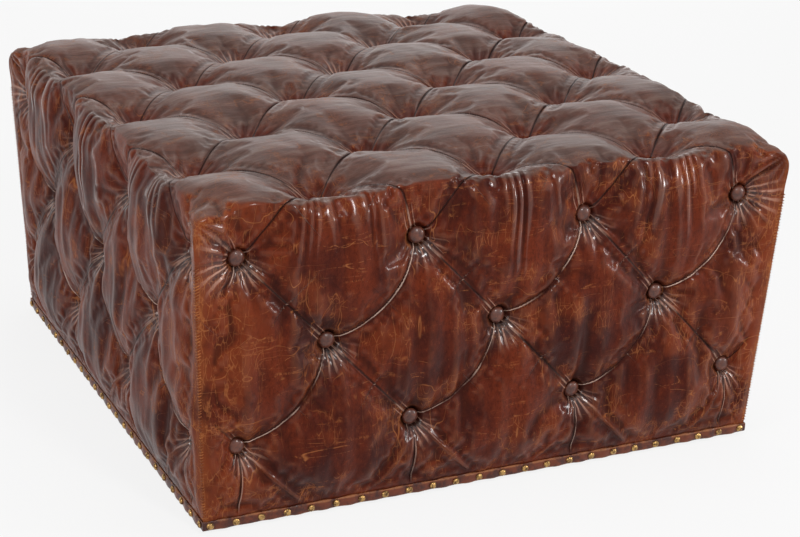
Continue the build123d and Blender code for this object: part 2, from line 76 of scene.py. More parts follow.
# %% [markdown]
# ## Writing shaders as sums
#
# A finish is a chain of small nodes. Written as links it is hard to read, so a socket is
# wrapped in a class that knows arithmetic: `1 - mask * 0.5` adds its Math nodes by itself.
# Every other node comes from one method, which takes the node's type, its settings and what
# goes into its sockets. The nodes that every finish needs have short names of their own.

# %% Shader arithmetic


class Wire:
    """A socket of a node tree that can be added, multiplied and so on."""

    def __init__(self, tree, socket):
        self.tree, self.socket = tree, socket

    def node(self, kind, settings=None, sockets=None, out=0):
        """Adds a node of the type kind. Settings come first, then each socket's value or link."""
        made = self.tree.nodes.new("ShaderNode" + kind)
        for name, value in (settings or {}).items():
            setattr(made, name, value)
        for name, value in (sockets or {}).items():
            if isinstance(value, Wire):
                self.tree.links.new(value.socket, made.inputs[name])
            else:
                made.inputs[name].default_value = value
        return Wire(self.tree, made.outputs[out])

    def maths(self, operation, *others):
        """This value, and others after it, put through one operation."""
        return self.node("Math", {"operation": operation}, dict(enumerate((self, *others))))

    def __add__(self, other):
        return self.maths("ADD", other)

    def __sub__(self, other):
        return self.maths("SUBTRACT", other)

    def __rsub__(self, other):
        return self.node("Math", {"operation": "SUBTRACT"}, {0: other, 1: self})

    def __mul__(self, other):
        return self.maths("MULTIPLY", other)

    __radd__, __rmul__ = __add__, __mul__

    def between(self, low, high):
        """0 where the value is under low, 1 where it is over high, and smooth in between."""
        settings = {"interpolation_type": "SMOOTHSTEP"}
        return self.node("MapRange", settings, {0: self, 1: low, 2: high})

    def tone(self, one, other):
        """The colour one where this value is 0, the colour other where it is 1."""
        return self.node("Mix", {"data_type": "RGBA"}, {0: self, 6: one, 7: other}, out=2)

    def blend(self, share, other):
        """This colour, with a share of another one laid over it."""
        return share.tone(self, other)

    def relief(self, strength):
        """This value as a height in metres that bends the surface's normal."""
        return self.node("Bump", None, {"Height": self, "Distance": 1.0, "Strength": strength})

    def part(self, axis):
        """One of the three numbers of this vector."""
        return self.node("SeparateXYZ", None, {0: self}, out=axis)

    def noise(self, scale, detail, roughness=0.5, spread=(1, 1, 1), turn=(0, 0, 0), bend=0.0):
        """Cloudy values from 0 to 1 at this place, drawn out along the axes that spread squeezes."""
        place = self.node("Mapping", None, {"Vector": self, "Rotation": turn, "Scale": spread})
        values = {"Scale": scale, "Detail": detail, "Roughness": roughness, "Distortion": bend}
        return self.node("TexNoise", None, {"Vector": place} | values)

    def cells(self, scale):
        """The distance to the nearest of many scattered points: the grain of a hide."""
        return self.node("TexVoronoi", None, {"Vector": self, "Scale": scale})


def greater(first, *others):
    """The greatest of several values."""
    for other in others:
        first = first.maths("MAXIMUM", other)
    return first


def finish(name, **constants):
    """A new material: a wire to start from, the place on the object, its surface node and itself."""
    material = bpy.data.materials.new(name)
    material.use_nodes = True
    surface = material.node_tree.nodes["Principled BSDF"]
    for socket, value in constants.items():
        surface.inputs[socket.replace("_", " ")].default_value = value
    start = Wire(material.node_tree, None)
    return start, start.node("TexCoord", out=3), surface, material


def connect(surface, **wires):
    """Links wires to the surface's sockets."""
    for socket, wire in wires.items():
        wire.tree.links.new(wire.socket, surface.inputs[socket.replace("_", " ")])


def dress(pieces, material):
    for piece in pieces:
        piece.data.materials.append(material)


def srgb(red, green, blue):
    """A colour as a screen shows it, 0 to 255, turned into the linear numbers shaders use."""
    share = np.array([red, green, blue]) / 255
    low, high = share / 12.92, ((share + 0.055) / 1.055) ** 2.4
    return (*np.where(share <= 0.04045, low, high).tolist(), 1.0)


# %% [markdown]
# ## Floor and light
#
# Studio pictures of furniture stand on a white sweep. A large floor carries the shadow. For the
# camera and for reflections the world is plain white, while the light that falls on the leather
# from it stays at a soft grey. Small lamps in front and at the sides give the folds their crisp
# highlights. A large one at the back lies where the top mirrors it, for the pads' grey sheen.

# %% Floor
floor_reach = 14.0
corners = [(x * floor_reach, y * floor_reach, 0) for x, y in ((-1, -1), (1, -1), (1, 1), (-1, 1))]
floor_mesh = bpy.data.meshes.new("floor")
floor_mesh.from_pydata(corners, [], [(0, 1, 2, 3)])
placed("floor", floor_mesh)

camera_ray, glossy_ray, passing_ray = 0, 3, 6  # the light path's outputs
start, _, surface, material = finish("pale_floor", Base_Color=srgb(236, 236, 236), Roughness=0.9)
seen = greater(*[start.node("LightPath", out=ray) for ray in (camera_ray, glossy_ray)])
glow = start.node("Emission", None, {"Color": (1, 1, 1, 1), "Strength": 1.0})
matte = Wire(start.tree, surface.outputs[0])
shown = start.node("MixShader", None, {0: seen * 0.85, 1: matte, 2: glow})
start.tree.links.new(shown.socket, start.tree.nodes["Material Output"].inputs["Surface"])
floor_mesh.materials.append(material)

# %% World and lamps
fallen = 0.27  # what the white world gives as light
scene.world = bpy.data.worlds.new("studio")
scene.world.use_nodes = True
sky = Wire(scene.world.node_tree, None)
seen = greater(*[sky.node("LightPath", out=ray) for ray in (camera_ray, glossy_ray, passing_ray)])
strength = fallen + seen * (1 - fallen)
backdrop = sky.node("Background", None, {"Color": (1, 1, 1, 1), "Strength": strength})
sky.tree.links.new(backdrop.socket, sky.tree.nodes["World Output"].inputs["Surface"])


def lamp(name, place, height, size, watts):
    """A square soft lamp at place, turned towards a height over the middle of the floor."""
    light = bpy.data.lights.new(name, "AREA")
    light.shape, light.size, light.energy = "SQUARE", size, watts
    holder = placed(name, light)
    holder.location = place
    holder.rotation_euler = (Vector(place) - Vector((0, 0, height))).to_track_quat("Z", "Y").to_euler()


lamp("key", (0.2, -2.9, 2.2), 0.2, 0.45, 32)
lamp("right_side", (2.8, -1.8, 0.9), 0.2, 0.45, 26)
lamp("left_fill", (-2.9, -1.2, 1.2), 0.2, 0.6, 18)
lamp("overhead", (0.2, 0.1, 3.4), 0.3, 1.6, 20)
lamp("back_sheen", (1.5, 3.3, 1.5), 0.4, 2.6, 30)
scene.view_settings.view_transform = "Standard"

# %% [markdown]
# ## The block under the buttons
#
# Upholsterers plan deep buttoning on a lattice: a button at every second crossing, and a pleat
# along every diagonal between them. One lattice runs over the top and down each side, so a
# place on the cover is two numbers: `along`, the column, and `out`, how many steps out from the
# middle and down the side. At 3 the outer row of top buttons, at 4 the side's top row, at 3.5
# the edge where the top panel is taken to meet the side panel.
#
# First comes the shape without any tufting: a block with a softly rolled top edge, sides that
# lean in towards the band, and upright corners.

# %% Sizes of the block
column_step = 120.0
side_step = 125.0
outer = 3  # buttons on each side of the middle one
edge = 3.5
outer_place = outer * column_step
crest_face = 422.5
corner_face = 420.5
hem_face = 404.3
band_face = 406.5
band_bottom, band_top = 5.3, 17.3
row_height = 364.0  # top row of side buttons
crown, crown_fall = 452.0, 6.0
roll_out = crest_face - outer_place
squareness = 7.5  # 2 would make the rolled edge round
plan_squareness = 14.0
tip_out, tip_down, corner_pad = 1.0, 11.0, 8.0  # the corners' tips, and the pads before them
corner_hill = 0.16  # how broad a corner pad's hill is, in square lattice steps
skirt_top, skirt_power = 114.0, 3.5  # under this height the sides draw in to the hem
hem_turn = 25.0  # width of the leather turned in under the frame
hem_out = 4 + (row_height - band_top) / side_step
foot_out = 4 + (row_height - band_bottom) / side_step
turn_out = foot_out + hem_turn / side_step


def smooth(low, high, value):
    """0 under low, 1 over high, and an S-curve between."""
    share = np.clip((value - low) / (high - low), 0, 1)
    return share * share * (3 - 2 * share)


def mix(start, end, share):
    return start + (end - start) * share


def roll(place):
    """How far out a lattice distance is on the rolled edge: 0 at the outer buttons, 1 down at row 4."""
    turn = np.clip(place - outer, 0, 1) * np.pi / 2
    return np.sin(turn) / (np.sin(turn) ** squareness + np.cos(turn) ** squareness) ** (1 / squareness)


def height_over(u, v, along, out):
    """Height on the rolled edge: the rest of a rounded square after the outward parts u and v."""
    outward = np.minimum((u**plan_squareness + v**plan_squareness) ** (1 / plan_squareness), 1)
    rise = (1 - outward**squareness) ** (1 / squareness)
    inner = np.minimum(np.abs(along) / outer, 1) ** 2 + np.minimum(np.abs(out) / outer, 1) ** 2
    return row_height + (crown - crown_fall * inner - row_height) * rise


def ear(across, deep):
    """How near a place is to a corner's tip: 1 at the tip, and 0 from the last buttons inwards."""
    return smooth(2.8, edge, np.abs(across)) * smooth(2.8, edge, np.abs(deep))


def corner_lift(across, deep):
    """Rise of the corner pad in millimetres: a round hill on the diagonal, and a fall to the tip."""
    hill = np.exp(-((np.abs(across) - outer) ** 2 + (np.abs(deep) - outer) ** 2) / corner_hill)
    return corner_pad * hill - tip_down * ear(across, deep)


def hull_top(across, deep):
    """The top without tufting, for lattice places in both directions. The plan stays square."""
    u, v = roll(np.abs(across)), roll(np.abs(deep))
    tip = ear(across, deep)
    x, y = (
        np.sign(place) * (np.minimum(np.abs(place), outer) * column_step + roll_out * part + tip_out * tip)
        for place, part in ((across, u), (deep, v))
    )
    return np.stack([x, y, height_over(u, v, across, deep) + corner_lift(across, deep)], -1)


def hull_side(along, out):
    """The front without tufting, from the edge down to the hem and in under the frame."""
    down = roll(out)
    fade = 1 - np.clip((out - edge) / 0.5, 0, 1) ** 2
    rim = height_over(roll(edge), roll(np.minimum(np.abs(along), edge)), along, outer) - row_height
    fallen_by = (1 - down**squareness) / (1 - roll(edge) ** squareness)
    rolled = row_height + rim * fallen_by ** (1 / squareness)
    straight = row_height - side_step * np.clip(out - 4, 0, foot_out - 4)
    z = np.where(out < 4, rolled, straight)
    skirt = np.clip((z - band_top) / (skirt_top - band_top), 0, 1)
    flared = mix(hem_face, crest_face, 1 - (1 - skirt) ** skirt_power)
    crest = np.where(out < 4, outer_place + roll_out * down, flared)
    lean = np.clip((z - band_top) / (row_height - band_top), 0, 1)
    recess = smooth(edge, 4, out) * (crest_face - corner_face)
    corner = np.where(out < 4, crest - recess, mix(hem_face, corner_face, lean))
    inner = np.minimum(np.abs(along), outer) * column_step
    past = np.clip((np.abs(along) - outer) / (edge - outer), 0, 1)
    rolled_past = roll(np.minimum(np.abs(along), edge)) / roll(edge)
    share = mix(past, rolled_past, fade)
    x = np.sign(along) * (inner + (corner - outer_place) * share)
    bulge = 1 - (1 - np.clip((edge - np.abs(along)) / 0.6, 0, 1)) ** 2
    under = np.clip(out - foot_out, 0, None) * side_step
    y = -(mix(corner, crest, bulge) - under)
    x = x * np.where(out > foot_out, (hem_face - under) / hem_face, 1)
    near = 1 - smooth(edge, 4, out)
    tip, lift = ear(along, edge) * near, corner_lift(along, edge) * near
    return np.stack([x + np.sign(along) * tip_out * tip, y - tip_out * tip, z + lift], -1)


# %% [markdown]
# ## Tufting
#
# Between two diagonals the leather bulges like a pillow; on a diagonal it folds into a pleat.
# Distances to the two nearest pleats give the depth of the surface below the block. On the
# sides the weight of the pad makes the upper one sag over the lower one, so there one set of
# pleats is bowed, with a round lip on the upper pad and a gentle slope on the lower one. At the
# button both pleats meet in a funnel with a flat seat.

# %% Pads and pleats
pleat_unit = 85.0  # millimetres from a pleat to the pad's middle, for one lattice step
top_seat, side_seat = 38.0, 26.0
top_pleat, side_pleat, corner_pleat, hanging_pleat = 7.5, 11.0, 5.0, 7.0  # depths in millimetres
groove_depth, groove_width, hanging_groove = 1.2, 2.3, 2.5  # the sharp line in a pleat's bottom
edge_bow, sag_bow = 0.25, 0.27  # how far pleats are bowed, in lattice steps
top_funnel, side_funnel = 38, 23
seat_start, seat_end = 10, 17  # round a button the leather is level up to the first distance
fan_depth, fan_turns = 1.5, 15
dip_depth, dip_width = 1.2, 40  # over the edge the leather dips a little in every well's column


def nearest_odd(value):
    return 2 * np.round((value - 1) / 2) + 1


def dome(distance):
    """The broad bulge of a pad: 1 at its pleat, falling as a square to 0 at its middle."""
    return (1 - np.minimum(np.abs(distance) / pleat_unit, 1)) ** 2


def shoulder(distance, radius):
    """The round edge of a pad: a quarter circle from 1 at the pleat to 0 a radius away."""
    inside = 1 - np.minimum(np.abs(distance) / radius, 1)
    return 1 - np.sqrt(1 - inside**2)


def bowed(along, out):
    """The two diagonals that pleats follow, bowed over the edge and where the leather sags."""
    inner = 1 - smooth(3.0, 3.35, np.abs(along))
    lapped = smooth(3.75, 4.15, out) * inner
    rolling = np.sin(np.pi * np.clip(out - outer, 0, 1)) * inner
    p, q = along - out, along + out
    p_line = p - edge_bow * rolling * np.abs(np.cos(np.pi * q / 2))
    q_line = q - sag_bow * lapped * np.abs(np.cos(np.pi * p / 2))
    return p_line, q_line, lapped


def circling(value, strength):
    """A lattice number as a point on a circle, so a shader can measure to a pleat between points."""
    turn = np.pi * (value - 1)
    return np.stack([np.sin(turn), np.cos(turn), strength * np.ones_like(value)], -1)


# %% Buttons and depth


def nearest_button(along, out):
    """Offset in millimetres to the nearest button, whether there is one, and its column and row."""
    p, q = nearest_odd(along - out), nearest_odd(along + out)
    column, row = (p + q) / 2, (q - p) / 2
    step = mix(column_step, mix(110, side_step, smooth(3.6, 4.2, out)), smooth(3.0, 3.4, out))
    right, up = (along - column) * column_step, (row - out) * step
    return right, up, (np.abs(column) <= outer) & (row <= 6), column, row


def upright_pleat(along, out):
    """Below the last buttons each pleat hangs straight down. Gives its line, depth and groove."""
    line = along - 0.015 * np.sin((out - 6) * 4)
    gap = (line - nearest_odd(line)) * column_step
    inner = 1 - smooth(3.15, 3.4, np.abs(along))
    groove = np.exp(-((gap / 2.6) ** 2)) * inner
    rounding = 0.6 * dome(gap * pleat_unit / 60) + 0.4 * shoulder(gap, 14)
    return line, hanging_pleat * rounding * inner + hanging_groove * groove, groove


def fans(right, up, column, row, side):
    """Short folds that spread from a button: a wave in the angle. On the sides they hang down right."""
    distance, angle = np.hypot(right, up), np.arctan2(up, right)
    turn = angle * fan_turns + 1.2 * np.sin(distance / 9 + 2 * column + row) + 2.3 * column + row
    sector = mix(0.7, np.clip(1.3 - np.abs(angle + 1.15) / 1.35, 0, 1), side)
    sector = np.where((np.abs(column) == outer) & (row == 4), np.maximum(sector, 0.9 * side), sector)
    reach = smooth(11, 20, distance) * (1 - smooth(mix(34, 28, side), 56, distance))
    uneven = 0.65 + 0.35 * np.sin(angle * 4 + 3 * column + 5 * row)
    return np.cos(turn) * reach * sector * uneven


def tufting(along, out, coarse=1):
    """Depth below the block in millimetres, and the fields that the leather's finish reads.

    A coarse grid, so many times wider, gets broader grooves and no short folds.
    """
    side = smooth(3.3, 4.0, out)
    p, q, lapped = bowed(along, out)
    p_gap, q_gap = ((line - nearest_odd(line)) * pleat_unit for line in (p, q))
    round_p, round_q = (0.55 * dome(gap) + 0.45 * shoulder(gap, 11) for gap in (p_gap, q_gap))
    round_p = round_p * mix(1, 0.5, side)
    above = 0.35 * dome(q_gap) + 0.65 * shoulder(q_gap, 14)
    under = 0.5 * dome(q_gap) + 0.5 * np.exp(-np.abs(q_gap) / 3)
    lap = mix(round_q, np.where(q_gap < 0, above, under), lapped)
    pads = mix(top_pleat, side_pleat, side) * (round_p**2.5 + lap**2.5) ** 0.4
    groove = np.maximum(*(np.exp(-((gap / (groove_width * coarse)) ** 2)) for gap in (p_gap, q_gap)))
    outside = smooth(3.0, 3.42, np.abs(along)) * smooth(2.9, 3.3, out)
    pads = (pads + groove_depth * groove) * (1 - outside)
    corner_gap = (np.abs(along) + out - 2 * edge) * pleat_unit
    to_corner = smooth(2.98, 3.06, np.abs(along)) * (1 - smooth(3.25, 3.48, np.abs(along))) * (out > 3.4)
    pads = pads + corner_pleat * np.exp(-((corner_gap / 7) ** 2)) * to_corner

    below = smooth(6.04, 6.32, out)
    hanging = 1 - smooth(hem_out - 0.12, hem_out, out)
    line, upright, upright_groove = upright_pleat(along, out)
    pads = mix(pads, upright, below) * hanging

    right, up, real, column, row = nearest_button(along, out)
    distance = np.hypot(right, up)
    seat = mix(top_seat, side_seat, smooth(3.2, 3.8, row))
    pull = np.exp(-((distance / mix(top_funnel, side_funnel, side)) ** mix(1.7, 1.5, side))) * real
    funnel = mix(pads, seat, pull)
    funnel = mix(funnel, seat, (1 - smooth(seat_start, seat_end, distance)) * real)
    well_gap = (along - 2 * np.round(along / 2)) * column_step
    dip = np.exp(-((well_gap / dip_width) ** 2)) * np.sin(np.pi * np.clip((out - 3.05) / 0.85, 0, 1)) ** 2
    funnel = funnel + dip_depth * dip * (np.abs(along) < outer)
    if coarse == 1:
        funnel = funnel - fan_depth * fans(right, up, column, row, side) * real * (1 - 0.7 * groove)
    outermost = 1 + ((column > 2.5) + 2 * (column < -2.5)) * (row == 4)
    strength = (1 - outside) * (1 - below)
    fields = {
        "p_pleat": circling(p, strength),
        "q_pleat": circling(q, strength * (1 + lapped)),
        "upright": circling(line, below * hanging),
        "button": np.stack([right, up, real * outermost], -1),
    }
    crease = np.maximum(groove * (1 - outside), upright_groove * below) * hanging
    held = np.maximum(crease, np.exp(-((distance / seat_end) ** 4)) * real)
    held = np.maximum(held, np.maximum(1 - hanging, smooth(3.25, 3.4, np.abs(along)) * (out > 3.2)))
    return funnel, crease, held, fields


samples = ((0.0, 1.0), (1.0, 4.0), (0.5, 4.5))
depths = [float(tufting(np.array(column), np.array(row))[0]) for column, row in samples]
print("depth at a top button, a side button and a pleat:", np.round(depths, 1))

# %% [markdown]
# ## Gathers and hand-made unevenness
#
# Leather that dives into a well at the edge has too much length, so it stands in upright
# gathers under each well. And no two pads are stuffed alike: slow waves move the whole surface a
# few millimetres. The waves are sums of sines with fixed seeds, so every run gives the same
# footstool.

# %% Gathers and waves
gather_height = 3.2
narrow_gather, broad_gather = 13.5, 19.0  # their width at the front and back, and at the left and right


def corner_folds(along, out):
    """Short folds that spread from each corner's tip down the sides: a wave in the angle about it."""
    right, down = (edge - np.abs(along)) * column_step, (out - edge) * column_step
    distance, angle = np.hypot(right, down), np.arctan2(down, right)
    wave = np.cos(19 * angle + 0.8 * np.sin(distance / 8) + np.sign(along))
    return wave * smooth(6, 16, distance) * (1 - smooth(30, 62, distance)) * (down > 0)


def gathers(along, out, breadth):
    """Upright folds under the edge's wells: round ridges and sharp valleys, each with its own end."""
    well = 2 * np.round(along / 2)
    across = (along - well) * column_step / (1 + 0.4 * np.clip(out - 3.3, 0, 2))
    turn = np.pi * across / breadth + 1.5 * np.sin(across / 11 + 2 * well)
    turn = turn + 0.6 * np.sin(3 * out + across / 15 + well)
    ends = 4.45 + 0.5 * np.sin(across / 6.5 + 3 * well)
    window = smooth(3.36, 3.58, out) * (1 - 0.4 * smooth(3.7, 4.2, out))
    window = window * (1 - smooth(ends - 0.9, ends, out))
    strength = 0.7 + 0.3 * np.sin(across / 7 + 5 * well)
    fold = (2 * np.abs(np.cos(turn)) - 1) * strength * np.exp(-((across / 44) ** 2))
    return fold * window * (np.abs(well) < outer)


def waves(points, size, seed, count=26, stretch=(1, 1, 1)):
    """A smooth random field: sines in random directions with a wavelength near size."""
    random = np.random.RandomState(seed)
    direction = random.normal(size=(count, 3))
    direction = direction / np.linalg.norm(direction, axis=1, keepdims=True)
    turns = direction * random.uniform(0.6, 1.5, (count, 1)) * 2 * np.pi / size / np.array(stretch)
    phase = random.uniform(0, 2 * np.pi, count)
    return np.sin(points @ turns.T + phase).sum(-1) / np.sqrt(count / 2)


# %% [markdown]
# ## Panels as grids
#
# Each panel is a plain grid over the lattice: one for the top, one for each side. The side that
# is worked out is the front; the others are the same function turned about the upright axis,
# with their own waves. Panels share the points of their common edges, so no gap can open.

# %% Grids
steps_per_unit, skirt_steps, hem_steps = 48, 156, 6
trial_row = 20  # here a side looks outward, not up or down


def turned(points, quarters):
    """Points turned about the upright axis by quarter turns."""
    for _ in range(quarters):
        points = np.stack([-points[..., 1], points[..., 0], points[..., 2]], -1)
    return points


def side_rows(thin):
    """Lattice places of a side's rows: even steps to the hem, then finer ones round it."""
    skirt = np.linspace(edge, hem_out, skirt_steps // thin + 1)
    hem = np.linspace(hem_out, foot_out, hem_steps // thin + 1)
    under = np.linspace(foot_out, turn_out, hem_steps // thin + 1)
    return np.concatenate([skirt, hem[1:], under[1:]])


def unit(vectors):
    return vectors / np.maximum(np.linalg.norm(vectors, axis=-1, keepdims=True), 1e-9)


def grid_normals(points):
    """Unit normals of a grid from its two tangents."""
    return unit(np.cross(np.gradient(points, axis=1), np.gradient(points, axis=0)))


def quads(index):
    """Faces of a grid of point numbers."""
    corners = (index[:-1, :-1], index[:-1, 1:], index[1:, 1:], index[1:, :-1])
    return np.stack(corners, -1).reshape(-1, 4)


def runs_outward(points, normals):
    """Whether a grid's faces look along its normals as its rows and columns run."""
    row, column = points.shape[0] // 4, points.shape[1] // 2
    middle, right, down = points[row, column], points[row, column + 1], points[row + 1, column]
    return np.cross(right - middle, down - middle) @ normals[row, column] > 0


def meet(normals, upright_rows=None, join=lambda one, other: unit(one + other)):
    """Joins the panels' values along their common edges. Rows of the corners may stay apart."""
    top, sides = normals[0], normals[1:]
    borders = (np.s_[0, :], np.s_[:, -1], np.s_[-1, ::-1], np.s_[::-1, 0])
    rows = slice(0, upright_rows)
    for quarter in range(4):
        left, right = sides[quarter], sides[(quarter + 1) % 4]
        shared = join(left[rows, -1], right[rows, 0])
        left[rows, -1], right[rows, 0] = shared, shared
    for border, side in zip(borders, sides):
        shared = join(top[border], side[0])
        top[border], side[0] = shared, shared
    return normals


def lattice(thin=1):
    """Column and row of every grid point: the top, then a side. Thin skips points for a light copy."""
    places = np.linspace(-edge, edge, int(2 * edge * steps_per_unit) // thin + 1)
    across, deep = np.meshgrid(places, places)
    along, out = np.meshgrid(places, side_rows(thin))
    return (across, deep), (along, out)


def hulls(thin=1):
    """Points and normals of all five panels without tufting."""
    (across, deep), (along, out) = lattice(thin)
    points = [hull_top(across, deep)]
    points += [turned(hull_side(along, out), quarter) for quarter in range(4)]
    normals = [grid_normals(panel) for panel in points]
    normals[0] = normals[0] * np.sign(normals[0][..., 2:])
    for panel, normal in zip(points[1:], normals[1:]):
        normal *= np.sign((normal[trial_row, :, :2] * panel[trial_row, :, :2]).sum())
    return points, meet(normals)


def local_places(thin=1):
    """Every panel's places as its nearest side counts them: along it, and out from the middle.

    The left and right sides count the other way, so the pads lap towards the same corners.
    """
    (across, deep), (along, out) = lattice(thin)
    front, back = -deep >= np.abs(across), deep >= np.abs(across)
    right = across > np.abs(deep)
    near = np.select([front, back, right], [across, -across, -deep], deep)
    far = np.maximum(np.abs(across), np.abs(deep))
    return [(near, far)] + [(along, out), (-along, out)] * 2


hull_points, hull_normals = hulls()
print("top grid", hull_points[0].shape, "side grid", hull_points[1].shape)

# %% [markdown]
# ## The cover
#
# Depth is taken off along the block's normals. What comes out is kept as arrays until the
# padding has been simulated, because the fine creases go on last.

# %% Cover surface


def tufted(thin=1, slack=0.0):
    """Points of all panels with their tufting, and the fields of each. Slack lowers what isn't held."""
    points, normals = hulls(thin)
    panels, fields = [], []
    for panel, normal, (along, out) in zip(points, normals, local_places(thin)):
        depth, crease, held, places = tufting(along, out, thin)
        calm = 1 - smooth(hem_out - 0.35, hem_out - 0.1, out)
        calm = calm * (1 - (out > edge) * smooth(3.3, 3.5, np.abs(along))) * (1 - 0.8 * crease)
        side = smooth(3.4, 3.8, out)
        uneven = 1.3 * waves(panel, 150, 3) + 0.6 * waves(panel, 62, 4)
        upright = [waves(panel, size, seed, stretch=(1, 1, 5)) for size, seed in ((36, 5), (16, 6))]
        uneven = uneven + side * (1.3 * upright[0] + 0.2 * upright[1])
        breadth = np.where(np.abs(panel[..., 0]) > np.abs(panel[..., 1]), broad_gather, narrow_gather)
        gather = (gathers(along, out, breadth) + 0.5 * corner_folds(along, out)) * (thin == 1)
        depth = depth + slack * (1 - held)
        panels.append(panel - normal * (depth - (uneven + gather_height * gather) * calm)[..., None])
        seam = np.hypot(edge - np.abs(along), np.maximum(edge - out, 0)) * column_step
        fields.append(places | {"gather": gather, "seam": seam, "held": held})
    return panels, fields


cover, cover_fields = tufted()

# %% [markdown]
# ## Stuffing the pads
#
# The cover is sewn and tied first, and the stuffing then pushes it out. Cloth simulation does the
# same: a light copy of the whole cover is held at the pleats, the buttons, the corners and the
# foot, starts a little sunken and a little too large, and is blown up from inside with gravity
# off. How far each point moved is capped, spread back to the fine grid, and added to it, so the
# sharp pleats stay sharp and the pads between them get the swell and the slack folds of leather.

# %% Cloth simulation
thin, slack, most_swell = 3, 3.0, 8.0


def finer(values, times):
    """A grid with times as many steps: each new point is a cubic through its four neighbours."""

    def weights(count):
        place = np.arange((count - 1) * times + 1) / times
        low = np.minimum(place.astype(int), count - 2)
        t = place - low
        parts = (-t + 2 * t**2 - t**3, 2 - 5 * t**2 + 3 * t**3, t + 4 * t**2 - 3 * t**3, t**3 - t**2)
        table = np.zeros((len(place), count))
        for offset, part in zip((-1, 0, 1, 2), parts):
            np.add.at(table, (np.arange(len(place)), np.clip(low + offset, 0, count - 1)), part / 2)
        return table

    rows, columns = (weights(count) for count in values.shape[:2])
    return np.einsum("ar,rck,bc->abk", rows, values, columns, optimize=True)


def swell(last_frame=16):
    """How far each point of the light cover is pushed, panel by panel, in millimetres."""
    panels, fields = tufted(thin, slack)
    points = np.concatenate([panel.reshape(-1, 3) for panel in panels])
    held = np.concatenate([field["held"].ravel() for field in fields])
    shared, first, index = np.unique(np.round(points, 1), axis=0, return_index=True, return_inverse=True)
    index = index.ravel()
    faces, start = [], 0
    for panel, normal in zip(panels, hulls(thin)[1]):
        rows, columns = panel.shape[:2]
        numbers = index[start : start + rows * columns].reshape(rows, columns)
        start += rows * columns
        faces.append(quads(numbers) if runs_outward(panel, normal) else quads(numbers)[:, ::-1])
    mesh = bpy.data.meshes.new("stuffing")
    before = points[first]
    mesh.from_pydata((before / 1000).tolist(), [], np.concatenate(faces).tolist())
    blown = placed("stuffing", mesh)
    group = blown.vertex_groups.new(name="held")
    for level in (0.25, 0.5, 0.75, 1.0):
        chosen = np.nonzero(np.round(held[first] * 4) / 4 == level)[0]
        group.add(chosen.tolist(), level, "REPLACE")
    cloth = blown.modifiers.new("stuffing", "CLOTH")
    settings = cloth.settings
    settings.quality, settings.mass, settings.air_damping = 5, 0.3, 2.0
    settings.tension_stiffness = settings.compression_stiffness = 15.0
    settings.shear_stiffness, settings.bending_stiffness = 5.0, 1.5
    settings.shrink_min = -0.02
    settings.use_pressure, settings.uniform_pressure_force = True, 4.0
    settings.vertex_group_mass, settings.pin_stiffness = "held", 1.0
    settings.effector_weights.gravity = 0.0
    cloth.point_cache.frame_start, cloth.point_cache.frame_end = 1, last_frame
    for frame_number in range(1, last_frame + 1):
        scene.frame_set(frame_number)
    result = blown.evaluated_get(bpy.context.evaluated_depsgraph_get()).to_mesh()
    after = np.empty(len(result.vertices) * 3)
    result.vertices.foreach_get("co", after)
    moved = after.reshape(-1, 3) * 1000 - before
    bpy.data.objects.remove(blown)
    scene.frame_set(1)
    length = np.linalg.norm(moved, axis=1, keepdims=True)
    print("largest and mean swell in millimetres:", length.max().round(1), length.mean().round(1))
    moved = (moved * np.minimum(1, most_swell / np.maximum(length, 1e-9)))[index]
    ends = np.cumsum([panel.shape[0] * panel.shape[1] for panel in panels])[:-1]
    return [part.reshape(panel.shape) for part, panel in zip(np.split(moved, ends), panels)]


sunken, _ = tufted(1, slack)
pushed = meet([finer(part, thin) for part in swell()], join=lambda one, other: (one + other) / 2)
free = [(1 - field["held"])[..., None] for field in cover_fields]
cover = [panel + part * share for panel, part, share in zip(sunken, pushed, free)]

# %% [markdown]
# ## What stands proud
#
# Hands and knees rub the ridges and never the hollows, and the finish paints shade into the
# hollows. So the finish needs to know which is which: each point is set against the mean of four
# points a few steps away, once close by for the folds and once further out for the pads.

# %% Ridges and hollows
fold_steps, pad_steps = 2, 7


def proudness(points, normals, reach):
    """How far each point stands out, in millimetres, over the mean of its neighbours reach steps away."""
    rows, columns = points.shape[:2]
    wide = np.pad(points, ((reach, reach), (reach, reach), (0, 0)), "edge")
    starts = ((0, reach), (2 * reach, reach), (reach, 0), (reach, 2 * reach))
    around = [wide[row : row + rows, column : column + columns] for row, column in starts]
    value = ((points - np.mean(around, axis=0)) * normals).sum(-1)
    row, column = (np.clip(np.arange(count), reach, count - 1 - reach) for count in (rows, columns))
    return value[row][:, column]


# %% Panel meshes


def smooth_piece(name, points, faces, slot, *nodes):
    """A smooth mesh of points in millimetres that stands for nodes of the frame. The slot is not used."""
    mesh = bpy.data.meshes.new(name)
    mesh.from_pydata((points.reshape(-1, 3) / 1000).tolist(), [], faces.tolist())
    mesh.polygons.foreach_set("use_smooth", np.ones(len(faces), bool))
    piece = placed(name, mesh)
    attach(piece, "root")
    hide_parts(*nodes)
    return piece


def store(piece, name, values):
    """Keeps a number, or three, for every point as an attribute that a finish can read."""
    kind, key = ("FLOAT_VECTOR", "vector") if values.ndim == 3 else ("FLOAT", "value")
    attribute = piece.data.attributes.new(name, kind, "POINT")
    attribute.data.foreach_set(key, values.ravel().astype(np.float32))


def panel_piece(name, points, normals, fields):
    """A panel's grid as a padded piece with its fields. It stands for the leather and its foam."""
    faces = quads(np.arange(points[..., 0].size).reshape(points.shape[:2]))
    faces = faces if runs_outward(points, normals) else faces[:, [0, 3, 2, 1]]
    piece = smooth_piece(name + "_cover", points, faces, "leather", name, name.replace("leather", "foam"))
    for field, values in fields.items():
        store(piece, field, values)
    piece.data.normals_split_custom_set_from_vertices(normals.reshape(-1, 3).tolist())
    return piece


